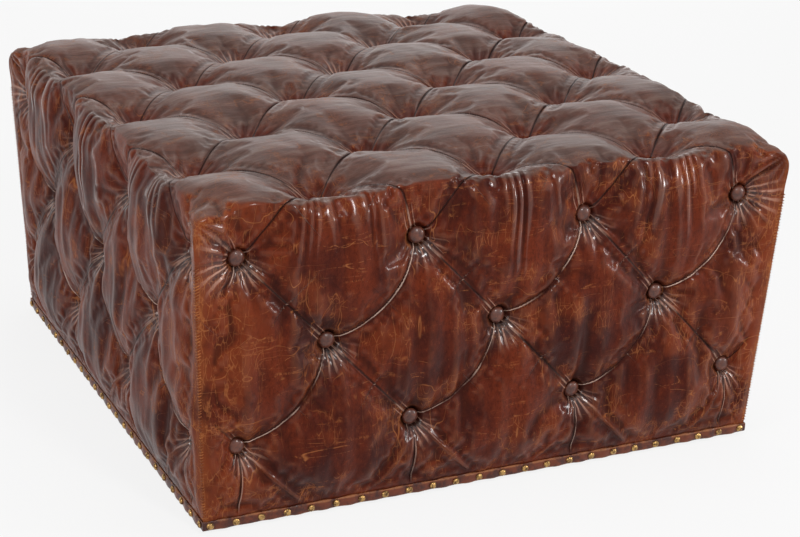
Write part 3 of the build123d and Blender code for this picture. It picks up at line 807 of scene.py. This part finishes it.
def outward_normals(panels, guides, upright_rows):
    """Normals of the finished panels, turned to the same side as the block's."""
    normals = []
    for panel, guide in zip(panels, guides):
        normal = grid_normals(panel)
        middle = (panel.shape[0] // 4, panel.shape[1] // 2)
        normals.append(normal * np.sign(normal[middle] @ guide[middle]))
    return meet(normals, upright_rows)


sharp_below = 396.0  # the height under which the upright corners are sharp
corner_rows = int(np.argmin(hull_points[1][:, -1, 2] > sharp_below))
normals = outward_normals(cover, hull_normals, corner_rows)
names = ["leather_top", "leather_front", "leather_right", "leather_back", "leather_left"]
panels = []
for name, points, normal, fields in zip(names, cover, normals, cover_fields):
    relief = [proudness(points, normal, steps) for steps in (fold_steps, pad_steps)]
    fields = {key: values for key, values in fields.items() if key not in ("held", "gather")} | {
        "relief": np.stack([*relief, fields["gather"]], -1)
    }
    panels.append(panel_piece(name, points, normal, fields))
print("faces in the cover:", sum(len(piece.data.polygons) for piece in panels))

# %% [markdown]
# ## Distressed leather
#
# The hide is dyed a deep red-brown, then rubbed back: lighter and more orange where it stands
# proud, with pale hair-thin scratches and cracks where it has been bent. Shade is painted into
# it: almost black in the pleats' creases, and darker in the hollows between pads and folds, in
# the valleys of a button's wrinkles and round the sides' buttons. Highlights are painted pale on
# the pads' lips and on wrinkle crests, and where it lies level a grey sheen is painted over it.
# The dye lies in clouds that run down the sides, as it was wiped on. Over it is a hard wax that
# shines only where the leather is polished by touch, on folds and wrinkles.
#
# Anything thinner than the grid is drawn here from distances: the pleat lines and the folds
# beside them from the two pleat fields, the short wrinkles that fan out from a button from the
# offset to that button.

# %% Distances that the leather reads


def attribute(start, name):
    """The three parts of a vector attribute."""
    vector = start.node("Attribute", {"attribute_name": name}, out=1)
    return [vector.part(axis) for axis in range(3)]


def pleat_distance(start, name, unit):
    """Signed millimetres to the nearest pleat, and the pleat's strength: the angle on its circle."""
    sine, cosine, strength = attribute(start, name)
    return sine.maths("ARCTAN2", cosine) * (unit / np.pi), strength


def stripe(distance, middle, width):
    """1 where the distance is at middle, and 0 a width away from it."""
    return (distance - middle).maths("ABSOLUTE").between(width, 0.0)


def reading(start, place):
    """What the leather knows at a place: slow and fine noises, the pleats, the button, the seam."""
    at = SimpleNamespace(place=place)
    at.clouds = place.noise(11, 3, 0.6, (1, 1, 0.55))
    at.mottle = place.noise(38, 5, 0.65, (1, 1, 0.6), bend=0.5)
    at.patches = place.noise(15, 3, 0.6, turn=(0.4, 0.8, 0.3))
    at.fine = place.noise(210, 5, 0.75, (1, 1, 0.6))
    at.p_gap, at.p_here = pleat_distance(start, "p_pleat", pleat_unit)
    at.q_gap, at.q_here = pleat_distance(start, "q_pleat", pleat_unit)
    at.u_gap, at.u_here = pleat_distance(start, "upright", column_step)
    at.near_fold, at.near_pad, at.gather = attribute(start, "relief")
    right, up, at.button = attribute(start, "button")
    offset = start.node("CombineXYZ", None, {0: right, 1: up})
    at.reach = start.node("VectorMath", {"operation": "LENGTH"}, {0: offset}, out=1)
    at.angle = up.maths("ARCTAN2", right)
    at.around = at.reach.between(70, 20)
    at.lapped = at.q_here.between(1.2, 1.9)
    at.seam = start.node("Attribute", {"attribute_name": "seam"}, out=2)
    # how far a place faces up: there the finish paints a grey sheen
    at.level = start.node("TexCoord", out=1).part(2).between(0.55, 0.9)
    return at


# %% Pleats and wrinkles


def pleat_marks(at):
    """Painted shade in every pleat's crease, a painted highlight on the lip over it, and small folds that
    run beside it.
    """
    side_line = stripe(at.q_gap, -0.6, 1.9) * at.q_here.between(0, 1) * (1 - at.lapped * 0.45)
    line = greater(stripe(at.p_gap, 0, 2.6) * at.p_here, side_line, stripe(at.u_gap, 0, 1.5) * at.u_here)
    lip = stripe(at.q_gap, 1.7, 1.1) * at.lapped * at.mottle.between(0.26, 0.5)
    lip = lip * greater(at.clouds.between(0.47, 0.56), at.around * 0.75)
    upright_lip = stripe(at.u_gap, 2.2, 1.1) * at.u_here * at.mottle.between(0.3, 0.54)
    off = at.p_gap.maths("ABSOLUTE")
    beside = (off * 1.15 + at.mottle * 2).maths("SINE") * off.between(16, 3)
    return line, greater(lip, upright_lip * 0.4), beside * at.reach.between(66, 24) * at.p_here


def button_marks(at):
    """Where wrinkles fan out from a button, and their wave: a sine of the angle about the button.

    They hang down to the right. The outermost buttons, told by their number, have more of them.
    """
    wave = (at.angle * 22 + (at.mottle * 4 + at.clouds * 7)).maths("SINE")
    right_end = at.button.between(1.4, 1.6) * at.button.between(2.6, 2.4)
    outward = stripe(at.angle, -0.1, 1.2) * right_end
    backward = at.angle.maths("ABSOLUTE").between(1.9, 2.7) * at.button.between(2.4, 2.6)
    downward = stripe(at.angle, -1.15, 1.35) * at.reach.between(50, 14)
    fan = greater(downward, greater(outward, backward) * at.around)
    return fan * at.reach.between(10, 15) * at.button.between(0, 1) * at.patches.between(0.1, 0.45), wave


# %% Scratches and cracks


def scratches(at):
    """Hairlines in several directions, and a fine net of cracks near the corners' seams.

    A hairline lies where a slow noise passes its middle, and shows only where a mask lets it.
    """

    def hairline(scale, width, where, spread, turn):
        return stripe(at.place.noise(scale, 2.0, 0.35, spread, turn, 0.15), 0.5, width) * where

    cracked = at.patches.between(0.5, 0.62)
    by_seam = greater(at.mottle.between(0.5, 0.6), at.seam.between(60, 10))
    slanting = at.seam.between(260, 60) * at.patches.between(0.38, 0.56) * 0.9
    upright = greater(cracked * 0.8, at.seam.between(140, 30))
    streaks = greater(
        hairline(62, 0.014, upright, (1, 1, 0.12), (0.3, -0.25, 0)),
        hairline(58, 0.012, at.mottle.between(0.44, 0.6) * 0.9, (0.12, 0.12, 1), (0.2, 0.15, 0.5)),
    )
    lines = greater(
        hairline(14, 0.0034, cracked, (1.2, 1.2, 0.1), (0.5, 0.35, 0)),
        hairline(24, 0.0042, greater(cracked, at.around), (1.1, 1.1, 0.12), (-0.9, 0.7, 0.4)),
        streaks * at.fine.between(0.4, 0.56) * 0.8,
        hairline(15, 0.0030, by_seam, (0.12, 1.2, 1.2), (0.3, 0.4, 0.9)),
        hairline(17, 0.0034, slanting, (0.14, 1.2, 1.0), (0.2, 0.5, 0.3)),
    )
    bent = at.place.node("TexNoise", None, {"Vector": at.place, "Scale": 30, "Detail": 4}, out=1)
    bent = bent.node("VectorMath", {"operation": "SCALE"}, {0: bent, "Scale": 0.012})
    bent = bent.node("VectorMath", {"operation": "ADD"}, {0: at.place, 1: bent})
    drawn_out = {"Vector": bent, "Rotation": (0.25, -0.2, 0.1), "Scale": (1, 1, 0.3)}
    cell = {"Vector": bent.node("Mapping", None, drawn_out), "Scale": 150}
    net = bent.node("TexVoronoi", {"feature": "DISTANCE_TO_EDGE"}, cell).between(0.06, 0.0)
    where = greater(at.seam.between(80, 10), cracked * 0.7) * at.mottle.between(0.44, 0.58)
    return greater(lines, net * where)


# %% Leather finish


def leather(name, light, dark, glow):
    """The cover's leather. Light and dark are its two dye colours, glow shows where the dye is thin."""
    constants = {"Specular_IOR_Level": 0.24, "Specular_Tint": srgb(196, 84, 60), "Coat_Roughness": 0.17}
    start, place, surface, material = finish(name, **constants)
    at = reading(start, place)
    line, lip, beside = pleat_marks(at)
    rays, wave = button_marks(at)
    lines = scratches(at)
    # where highlights are painted: crests of a button's wrinkles and of the folds beside pleats
    crest = rays * wave.between(0.3, 0.9) * at.reach.between(14, 20)
    crest = greater(crest, beside.between(0.45, 0.95) * 0.6)
    worn = at.near_fold.between(0.15, 0.75) * 0.6 + at.near_pad.between(1.2, 3.6) * 0.25
    rubbed_seam = at.seam.between(16, 3) * at.mottle.between(0.3, 0.55) * 0.9
    worn = greater(worn * at.mottle.between(0.2, 0.7), rubbed_seam)
    shine = greater(rays, lip, at.near_fold.between(0.12, 0.5) * at.gather.between(-0.2, 0.5))
    drawn = place.noise(75, 4, 0.6, (0.14, 1, 1), (0, 0, 0.4))
    well = at.reach.between(46, 16) * at.button.between(0, 1)
    thin_dye = at.seam.between(150, 20) * at.patches.between(0.36, 0.56) * 0.7

    hide = (at.clouds * 0.72 + at.mottle * 0.28).between(0.38, 0.62).tone(dark, light)
    layers = [
        (at.fine.between(0.54, 0.34) * 0.45, srgb(40, 16, 12)),  # dark specks
        (at.fine.between(0.56, 0.72) * 0.45, glow),  # light specks
        (greater(at.patches.between(0.52, 0.68) * 0.5, thin_dye), glow),
        (well * at.lapped * 0.45, srgb(40, 18, 15)),  # painted shade in the wells round the sides' buttons
        (at.level * 0.68, srgb(100, 82, 75)),  # painted grey sheen where the top lies level
        # painted sheen in lighter streaks and painted shade in darker streaks on the level top
        (at.level * drawn.between(0.5, 0.66) * 0.3, srgb(142, 122, 112)),
        (at.level * drawn.between(0.5, 0.36) * 0.45, srgb(58, 38, 32)),
        (at.near_pad.between(-0.5, -3.0) * 0.5, srgb(46, 20, 15)),  # painted shade in the hollows between the pads
        (well * (1 - at.lapped) * 0.62, srgb(98, 34, 18)),  # in the top's wells
        (worn * (0.4 - at.level * 0.25), srgb(150, 84, 46)),
        (at.near_fold.between(-0.1, -0.8) * 0.35, srgb(30, 12, 10)),  # painted shade in the hollows between folds
        # painted shade in the valleys between a button's wrinkles
        (rays * wave.between(0.0, -0.8) * 0.7, srgb(28, 11, 9)),
        (lines * (0.6 - at.level * 0.25), srgb(186, 116, 68)),
        # painted shade in the pleats' creases
        (line * 0.9, srgb(14, 6, 6)),
        # painted highlight on wrinkle crests and the folds beside the pleats
        (crest * at.mottle.between(0.34, 0.54) * 0.75, srgb(230, 178, 154)),
        # painted highlight along the pads' lips
        (lip * 0.9, srgb(240, 204, 184)),
    ]
    for share, colour in layers:
        hide = hide.blend(share, colour)

    height = wave * rays * 0.0016 + beside * 0.0007 - line * 0.0016 + lip * 0.0006
    height = height + place.cells(560) * 0.00009 + place.noise(80, 4, 0.6, (1, 1, 0.3)) * 0.0006
    height = height + drawn * at.level * 0.0012 + at.fine * 0.0003 - lines * 0.00035
    rough = 0.36 + at.mottle * 0.14 + worn * 0.1 + lines * 0.15 + at.level * 0.1 - shine * 0.14
    bump = height.relief(0.9)
    connect(surface, Base_Color=hide, Roughness=rough, Normal=bump, Coat_Weight=0.08 + shine * 0.92)
    return material


cover_leather = leather("distressed_leather", srgb(108, 44, 24), srgb(58, 24, 20), srgb(132, 60, 32))
dress(panels, cover_leather)
print("nodes in the leather:", len(cover_leather.node_tree.nodes))

# %% [markdown]
# ## Buttons
#
# Each button is a metal mould with leather stretched over it: a low dome with a rounded rim
# where the leather gathers and turns under. It is a profile turned about the button's axis, with
# a little waviness at the rim. All buttons of one face are one piece, as they are cut from one
# strip.

# %% Button shape
sides = ("front", "right", "back", "left")
outwards = np.array([0.0, -1.0, 0.0])  # where the front looks
axle = 0.02  # a pole is a tiny hole of this radius


def tube_faces(index):
    """Faces of rings of point numbers, each ring closed on itself, from one ring to the next."""
    following = np.roll(index, -1, axis=-1)
    corners = (index[..., :-1, :], following[..., :-1, :], following[..., 1:, :], index[..., 1:, :])
    return np.stack(corners, -1).reshape(-1, 4)


def revolved(profile, turns, gathered=0.0, gathers=9):
    """A profile of (radius, height) turned about the upright axis, closed at its two ends."""
    around = np.arange(turns) / turns * 2 * np.pi
    radius, height = profile[:, :1], profile[:, 1:]
    wave = np.sin(around * gathers) * smooth(0.7, 1, radius / profile[:, 0].max())
    radius = radius * (1 + gathered * wave)
    x, y = radius * np.cos(around), radius * np.sin(around)
    points = np.stack([x, y, height + np.zeros_like(x)], -1)
    faces = tube_faces(np.arange(len(profile) * turns).reshape(len(profile), turns))
    return points.reshape(-1, 3), faces[:, [0, 3, 2, 1]]


def copies(shape, places, outward, tilt, seed):
    """Many copies of one shape, each at its place and along outward, tilted a little at random."""
    points, faces = shape
    random = np.random.RandomState(seed)
    axes = np.tile(outward, (len(places), 1))
    upward = unit(axes + random.normal(scale=tilt, size=axes.shape))
    helper = np.where(np.abs(upward[:, 2:]) > 0.9, [[1.0, 0, 0]], [[0, 0, 1.0]])
    right = unit(np.cross(helper, upward))
    frames = np.stack([right, np.cross(upward, right), upward], 1)
    moved = np.einsum("pk,nkj->npj", points, frames) + places[:, None]
    numbers = faces[None] + (np.arange(len(places)) * len(points))[:, None, None]
    return moved, numbers.reshape(-1, faces.shape[1])


button_profile = np.array([
    (axle, 6.2), (2.5, 6.05), (5.0, 5.5), (7.4, 4.5), (9.4, 3.2),
    (10.8, 1.6), (11.3, 0.3), (10.6, -1.6), (axle, -1.6),
])
button_shape = revolved(button_profile, turns=18, gathered=0.018)
print("faces in a button:", len(button_shape[1]))

# %% Buttons on the five faces
button_lift, button_tilt = 2.0, 0.06  # the leather round it keeps a button off its seat


def lattice_buttons(rows):
    """Columns and rows of the buttons: every second crossing of the lattice."""
    columns = range(-outer, outer + 1)
    return np.array([(column, row) for row in rows for column in columns if (column + row) % 2]).T


buttons = []
for quarter, face in enumerate(sides):
    column, row = lattice_buttons((4, 5, 6))
    seat = hull_side(column * 1.0, np.full(len(column), 4.0))[:, 1] + side_seat - button_lift
    places = np.stack([column * column_step, seat, row_height - (row - 4) * side_step], -1)
    placing = (turned(places, quarter), turned(outwards, quarter), button_tilt, 20 + quarter)
    name = "buttons_" + face
    moved = copies(button_shape, *placing)
    buttons.append(smooth_piece(name + "_covered", *moved, "button_leather", name))
column, row = lattice_buttons(range(-outer, outer + 1))
seat = crown - crown_fall * ((column / outer) ** 2 + (row / outer) ** 2) - top_seat + button_lift
places = np.stack([column * column_step, row * column_step, seat], -1)
moved = copies(button_shape, places, np.array([0.0, 0.0, 1.0]), button_tilt, 24)
buttons.append(smooth_piece("buttons_top_covered", *moved, "button_leather", "buttons_top"))
print("buttons:", [len(piece.data.polygons) // len(button_shape[1]) for piece in buttons])

# %% Button leather
constants = {"Specular_IOR_Level": 0.4, "Coat_Roughness": 0.12}
_, place, surface, material = finish("button_leather", **constants)
mottle = place.noise(130, 4, 0.6)
scuffs = place.noise(420, 3, 0.7).between(0.6, 0.72)
hide = mottle.between(0.35, 0.65).tone(srgb(74, 36, 28), srgb(112, 60, 42))
hide = hide.blend(scuffs * 0.4, srgb(160, 104, 72))
bump = (place.cells(700) * 0.0001 + mottle * 0.0004).relief(0.7)
rough = 0.34 + mottle * 0.12 + scuffs * 0.1
connect(surface, Base_Color=hide, Roughness=rough, Normal=bump, Coat_Weight=0.3 - scuffs * 0.2)
dress(buttons, material)

# %% [markdown]
# ## Nailed band
#
# A narrow strip of the same leather covers the raw edge at the foot. Every nail pinches it, and
# between two nails it puffs out and its upper edge lifts, so the strip looks scalloped. Its cross
# section is a flat rounded loop that gets thinner and lower at each nail.

# %% Band shape
nail_count, nail_reach, nail_height = 24, 396.0, 11.3
band_steps, band_sides = 10, 14  # places from one nail to the next, and points in a cross section
band_sunk, band_half_thickness, band_half_height = 1.1, 1.0, 6.2
band_puff, band_lift = 1.5, 1.1  # between two nails it is so much thicker and higher


def band():
    """A closed loop carried along the front's foot and mitred at the corners."""
    nail_gap = 2 * nail_reach / (nail_count - 1)
    share = np.linspace(-1, 1, (nail_count - 1) * band_steps + 5)[:, None]
    around = np.arange(band_sides) / band_sides * 2 * np.pi
    puff = np.sin(np.pi * (share * band_face + nail_reach) / nail_gap) ** 2
    puff = puff * (np.abs(share) * band_face < nail_reach) * (1 + 0.35 * np.sin(share * 61))
    out = np.sign(np.cos(around)) * np.abs(np.cos(around)) ** 0.7
    up = np.sign(np.sin(around)) * np.abs(np.sin(around)) ** 0.5
    depth = band_face - band_sunk + (band_half_thickness + band_puff * puff * (out > 0)) * out
    uneven = 0.3 * np.sin(share * 37) * (up > 0)
    z = nail_height + 0.4 + (band_half_height + band_lift * puff) * up + uneven
    points = np.stack([share * depth, -depth, np.maximum(z, band_bottom)], -1)
    return points, tube_faces(np.arange(points[..., 0].size).reshape(-1, band_sides))


bands = []
for quarter, face in enumerate(sides):
    name = "trim_band_" + face
    points, faces = band()
    piece = smooth_piece(name + "_puckered", turned(points, quarter), faces, "trim_leather", name)
    store(piece, "rise", (points[..., 2] - band_bottom) / (band_top - band_bottom))
    bands.append(piece)
print("faces in a band:", len(faces))

# %% Band leather
constants = {"Specular_IOR_Level": 0.3, "Coat_Roughness": 0.2}
start, place, surface, material = finish("trim_leather", **constants)
rise = start.node("Attribute", {"attribute_name": "rise"}, out=2)
mottle = place.noise(70, 5, 0.65)
edges = greater(rise.between(0.84, 0.99), rise.between(0.2, 0.06) * 0.7)
rubbed = edges * mottle.between(0.36, 0.6) * 0.7
hide = mottle.between(0.36, 0.62).tone(srgb(66, 28, 20), srgb(116, 54, 30))
hide = hide.blend(rubbed * 0.8, srgb(178, 118, 74))
bump = (place.cells(620) * 0.0001 + mottle * 0.0008).relief(0.8)
rough, wax = 0.4 + mottle * 0.15, 0.2 - rubbed * 0.15
connect(surface, Base_Color=hide, Roughness=rough, Normal=bump, Coat_Weight=wax)
dress(bands, material)

# %% [markdown]
# ## Brass nails
#
# Upholstery nails have domed heads pressed from thin brass. Years of wax have browned them, so on
# the real nails only the crown of each head is bright; here the brown lies in random patches. No
# two are driven in quite straight.

# %% Nails
head_radius, head_height, head_depth, head_tilt = 5.2, 3.3, 0.6, 0.12
arc = np.linspace(0, np.pi / 2, 5)
dome_line = np.stack([head_radius * np.sin(arc), head_height * np.cos(arc)], -1)
dome_line[0, 0] = axle
nail_profile = np.concatenate([dome_line, [(head_radius * 0.9, -head_depth), (axle, -head_depth)]])
nail_shape = revolved(nail_profile, turns=12)
nails = []
for quarter, face in enumerate(sides):
    random = np.random.RandomState(40 + quarter)
    along = np.linspace(-nail_reach, nail_reach, nail_count) + random.normal(scale=0.5, size=nail_count)
    height = nail_height + random.normal(scale=0.3, size=nail_count)
    places = np.stack([along, np.full(nail_count, -band_face), height], -1)
    placing = (turned(places, quarter), turned(outwards, quarter), head_tilt, 50 + quarter)
    name = "brass_nails_" + face
    nails.append(smooth_piece(name + "_domed", *copies(nail_shape, *placing), "brass", name))
print("faces in a nail:", len(nail_shape[1]))

# %% Aged brass
_, place, surface, material = finish("aged_brass")
tarnish = place.noise(260, 5, 0.7)
brown = tarnish.between(0.42, 0.62)
metal = brown.tone(srgb(186, 148, 92), srgb(84, 58, 34))
bump = (tarnish * 0.0005).relief(0.6)
rough, bare_metal = 0.28 + brown * 0.3, 1 - brown * 0.35
connect(surface, Base_Color=metal, Roughness=rough, Metallic=bare_metal, Normal=bump)
dress(nails, material)

# %% [markdown]
# ## Corner stitching
#
# Each upright corner is a seam whipped over with waxed thread. One stitch is a thin tube that
# starts in one face, crosses the corner a little higher and ends in the other face. Stitches are
# small and many, so each has only a few faces.

# %% Stitches
stitch_count, stitch_sides, stitch_reach, stitch_radius = 84, 5, 5.5, 0.65
stitch_bottom, stitch_depth, stitch_slant = 24.0, 1.2, 0.32
way = np.array([  # a stitch's line: its share of the reach along the faces, and of the depth into them
    (-1.0, 0.25), (-0.75, -0.3), (-0.3, -0.35), (0.0, -0.55), (0.3, -0.35), (0.75, -0.3), (1.0, 0.25),
])


def stitches(quarter):
    """Tubes over the corner between the front and the right, turned by quarters."""
    random = np.random.RandomState(60 + quarter)
    z = np.linspace(stitch_bottom, row_height - 2, stitch_count)
    z = z + random.normal(scale=0.35, size=stitch_count)
    face = mix(hem_face, corner_face, (z - band_top) / (row_height - band_top))[:, None]
    along, into = way[:, 0] * stitch_reach, way[:, 1] * stitch_depth
    slant = (stitch_slant + random.normal(scale=0.1, size=(stitch_count, 1))) * along
    x = face + np.minimum(along, 0) - np.where(along >= 0, into, 0)
    y = -face + np.maximum(along, 0) + np.where(along <= 0, into, 0)
    line = np.stack([x, y, z[:, None] + slant], -1)
    ahead = unit(np.gradient(line, axis=1))
    across = unit(np.cross(ahead, [0.0, 0.0, 1.0]))
    upward = np.cross(across, ahead)
    turn = np.arange(stitch_sides) / stitch_sides * 2 * np.pi
    ring = np.cos(turn)[:, None] * across[:, :, None] + np.sin(turn)[:, None] * upward[:, :, None]
    points = line[:, :, None] + stitch_radius * ring
    return turned(points, quarter), tube_faces(np.arange(points[..., 0].size).reshape(points.shape[:3]))


seams = []
for quarter, corner in enumerate(("front_right", "back_right", "back_left", "front_left")):
    name = "corner_stitching_" + corner
    seams.append(smooth_piece(name + "_whipped", *stitches(quarter), "thread", name))
print("stitches on a corner:", stitch_count, "faces in one:", len(seams[0].data.polygons) // stitch_count)

# %% Waxed thread
_, place, surface, material = finish("waxed_thread", Specular_IOR_Level=0.3)
plies = place.node("TexWave", None, {"Vector": place, "Scale": 520, "Distortion": 1.5})
soiled = place.noise(60, 4).between(0.35, 0.65)
thread = soiled.tone(srgb(190, 116, 62), srgb(124, 64, 36))
bump = (plies * 0.0002).relief(0.7)
connect(surface, Base_Color=thread, Roughness=0.62 - plies * 0.12, Normal=bump)
dress(seams, material)

# %% [markdown]
# ## Parts that stay as they are
#
# The frame, the board, the screws, the twine and the glides keep their solids and only get a
# finish. The carcass is rough sawn timber with grain that runs along each rail, the deck is
# plywood, and the underside is closed with black cloth that is stapled on.

# %% Timber


def timber(name, pale, deep, spread, rings=14.0):
    """Wood whose grain runs along the axis that spread squeezes: bent bands, with fine pores in them."""
    _, place, surface, material = finish(name, Specular_IOR_Level=0.25)
    grain = place.node("Mapping", None, {"Vector": place, "Scale": spread})
    bent = {"Vector": grain, "Scale": rings, "Distortion": 5.0, "Detail": 3, "Detail Scale": 1.5}
    growth = grain.node("TexWave", {"wave_type": "RINGS"}, bent)
    pores = grain.noise(240, 4, 0.7)
    wood = growth.between(0.2, 0.9).tone(pale, deep)
    wood = wood.blend(pores.between(0.55, 0.75) * 0.5, srgb(92, 62, 38))
    bump = (pores * 0.0006 + growth * 0.0003).relief(0.6)
    connect(surface, Base_Color=wood, Roughness=0.6 + pores * 0.2, Normal=bump)
    return material


pine = (srgb(214, 178, 128), srgb(178, 132, 84))
along_x = timber("timber_along_x", *pine, (0.12, 1, 1))
along_y = timber("timber_along_y", *pine, (1, 0.12, 1))
along_z = timber("timber_upright", *pine, (1, 1, 0.12))
sheet = timber("plywood", srgb(220, 190, 146), srgb(196, 158, 108), (0.1, 0.5, 1), 9.0)

# %% Steel, twine, cloth and plastics


def plain_finish(name, pale, deep, scale, roughness, height, metallic=0.0):
    """Two tones of one colour in a noise that also gives the surface its height."""
    _, place, surface, material = finish(name, Metallic=metallic)
    tone = place.noise(scale, 5, 0.65)
    colour = tone.between(0.35, 0.65).tone(pale, deep)
    bump = (tone * height).relief(0.7)
    connect(surface, Base_Color=colour, Roughness=roughness + tone * 0.15, Normal=bump)
    return material


def woven(name, warp, weft, pitch):
    """Plain weave: two sets of stripes at right angles, one over the other in turn."""
    _, place, surface, material = finish(name, Specular_IOR_Level=0.2)
    one, two = ((place.part(axis) * (2 * np.pi / pitch)).maths("SINE") for axis in (0, 1))
    over = one * two * 0.5 + 0.5
    bump = (over * 0.0003).relief(0.8)
    connect(surface, Base_Color=over.tone(warp, weft), Roughness=0.8 + over * 0.1, Normal=bump)
    return material


steel = plain_finish("zinc_steel", srgb(186, 188, 190), srgb(136, 138, 142), 300, 0.3, 0.0002, 1.0)
twine = plain_finish("linen_twine", srgb(222, 208, 176), srgb(176, 158, 122), 500, 0.75, 0.0006)
toggle = plain_finish("toggle_plastic", srgb(226, 222, 210), srgb(204, 198, 184), 120, 0.42, 0.0001)
glide = plain_finish("glide_plastic", srgb(44, 44, 46), srgb(26, 26, 28), 160, 0.45, 0.0003)
dust_cloth = woven("dust_cloth", srgb(34, 34, 36), srgb(16, 16, 18), 0.0024)

# %% Finishes by node
finishes = {  # by how a node's name starts; the longest start that fits counts
    "base_strip": along_x, "bottom_rail": along_x, "top_rail": along_x, "corner_braces": along_x,
    "deck_bearers": along_y, "corner_post": along_z, "side_board": sheet, "deck_board": sheet,
    "frame_screws": steel, "deck_screws": steel, "dust_cover_staples": steel, "glide_nails": steel,
    "tufting_twine": twine, "twine_toggles": toggle, "dust_cover": dust_cloth, "glides": glide,
}
visible = {name: node for name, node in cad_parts.items() if not node.hide_render}
bare = []
for name, node in visible.items():
    starts = [start for start in finishes if name.startswith(start)]
    if not starts:
        bare.append(name)
        continue
    chosen = finishes[max(starts, key=len)]
    if chosen is along_x and name.endswith(("left", "right")):
        chosen = along_y
    node.data.materials.clear()
    node.data.materials.append(chosen)
print("solids with a new finish:", len(visible) - len(bare), "without:", bare)
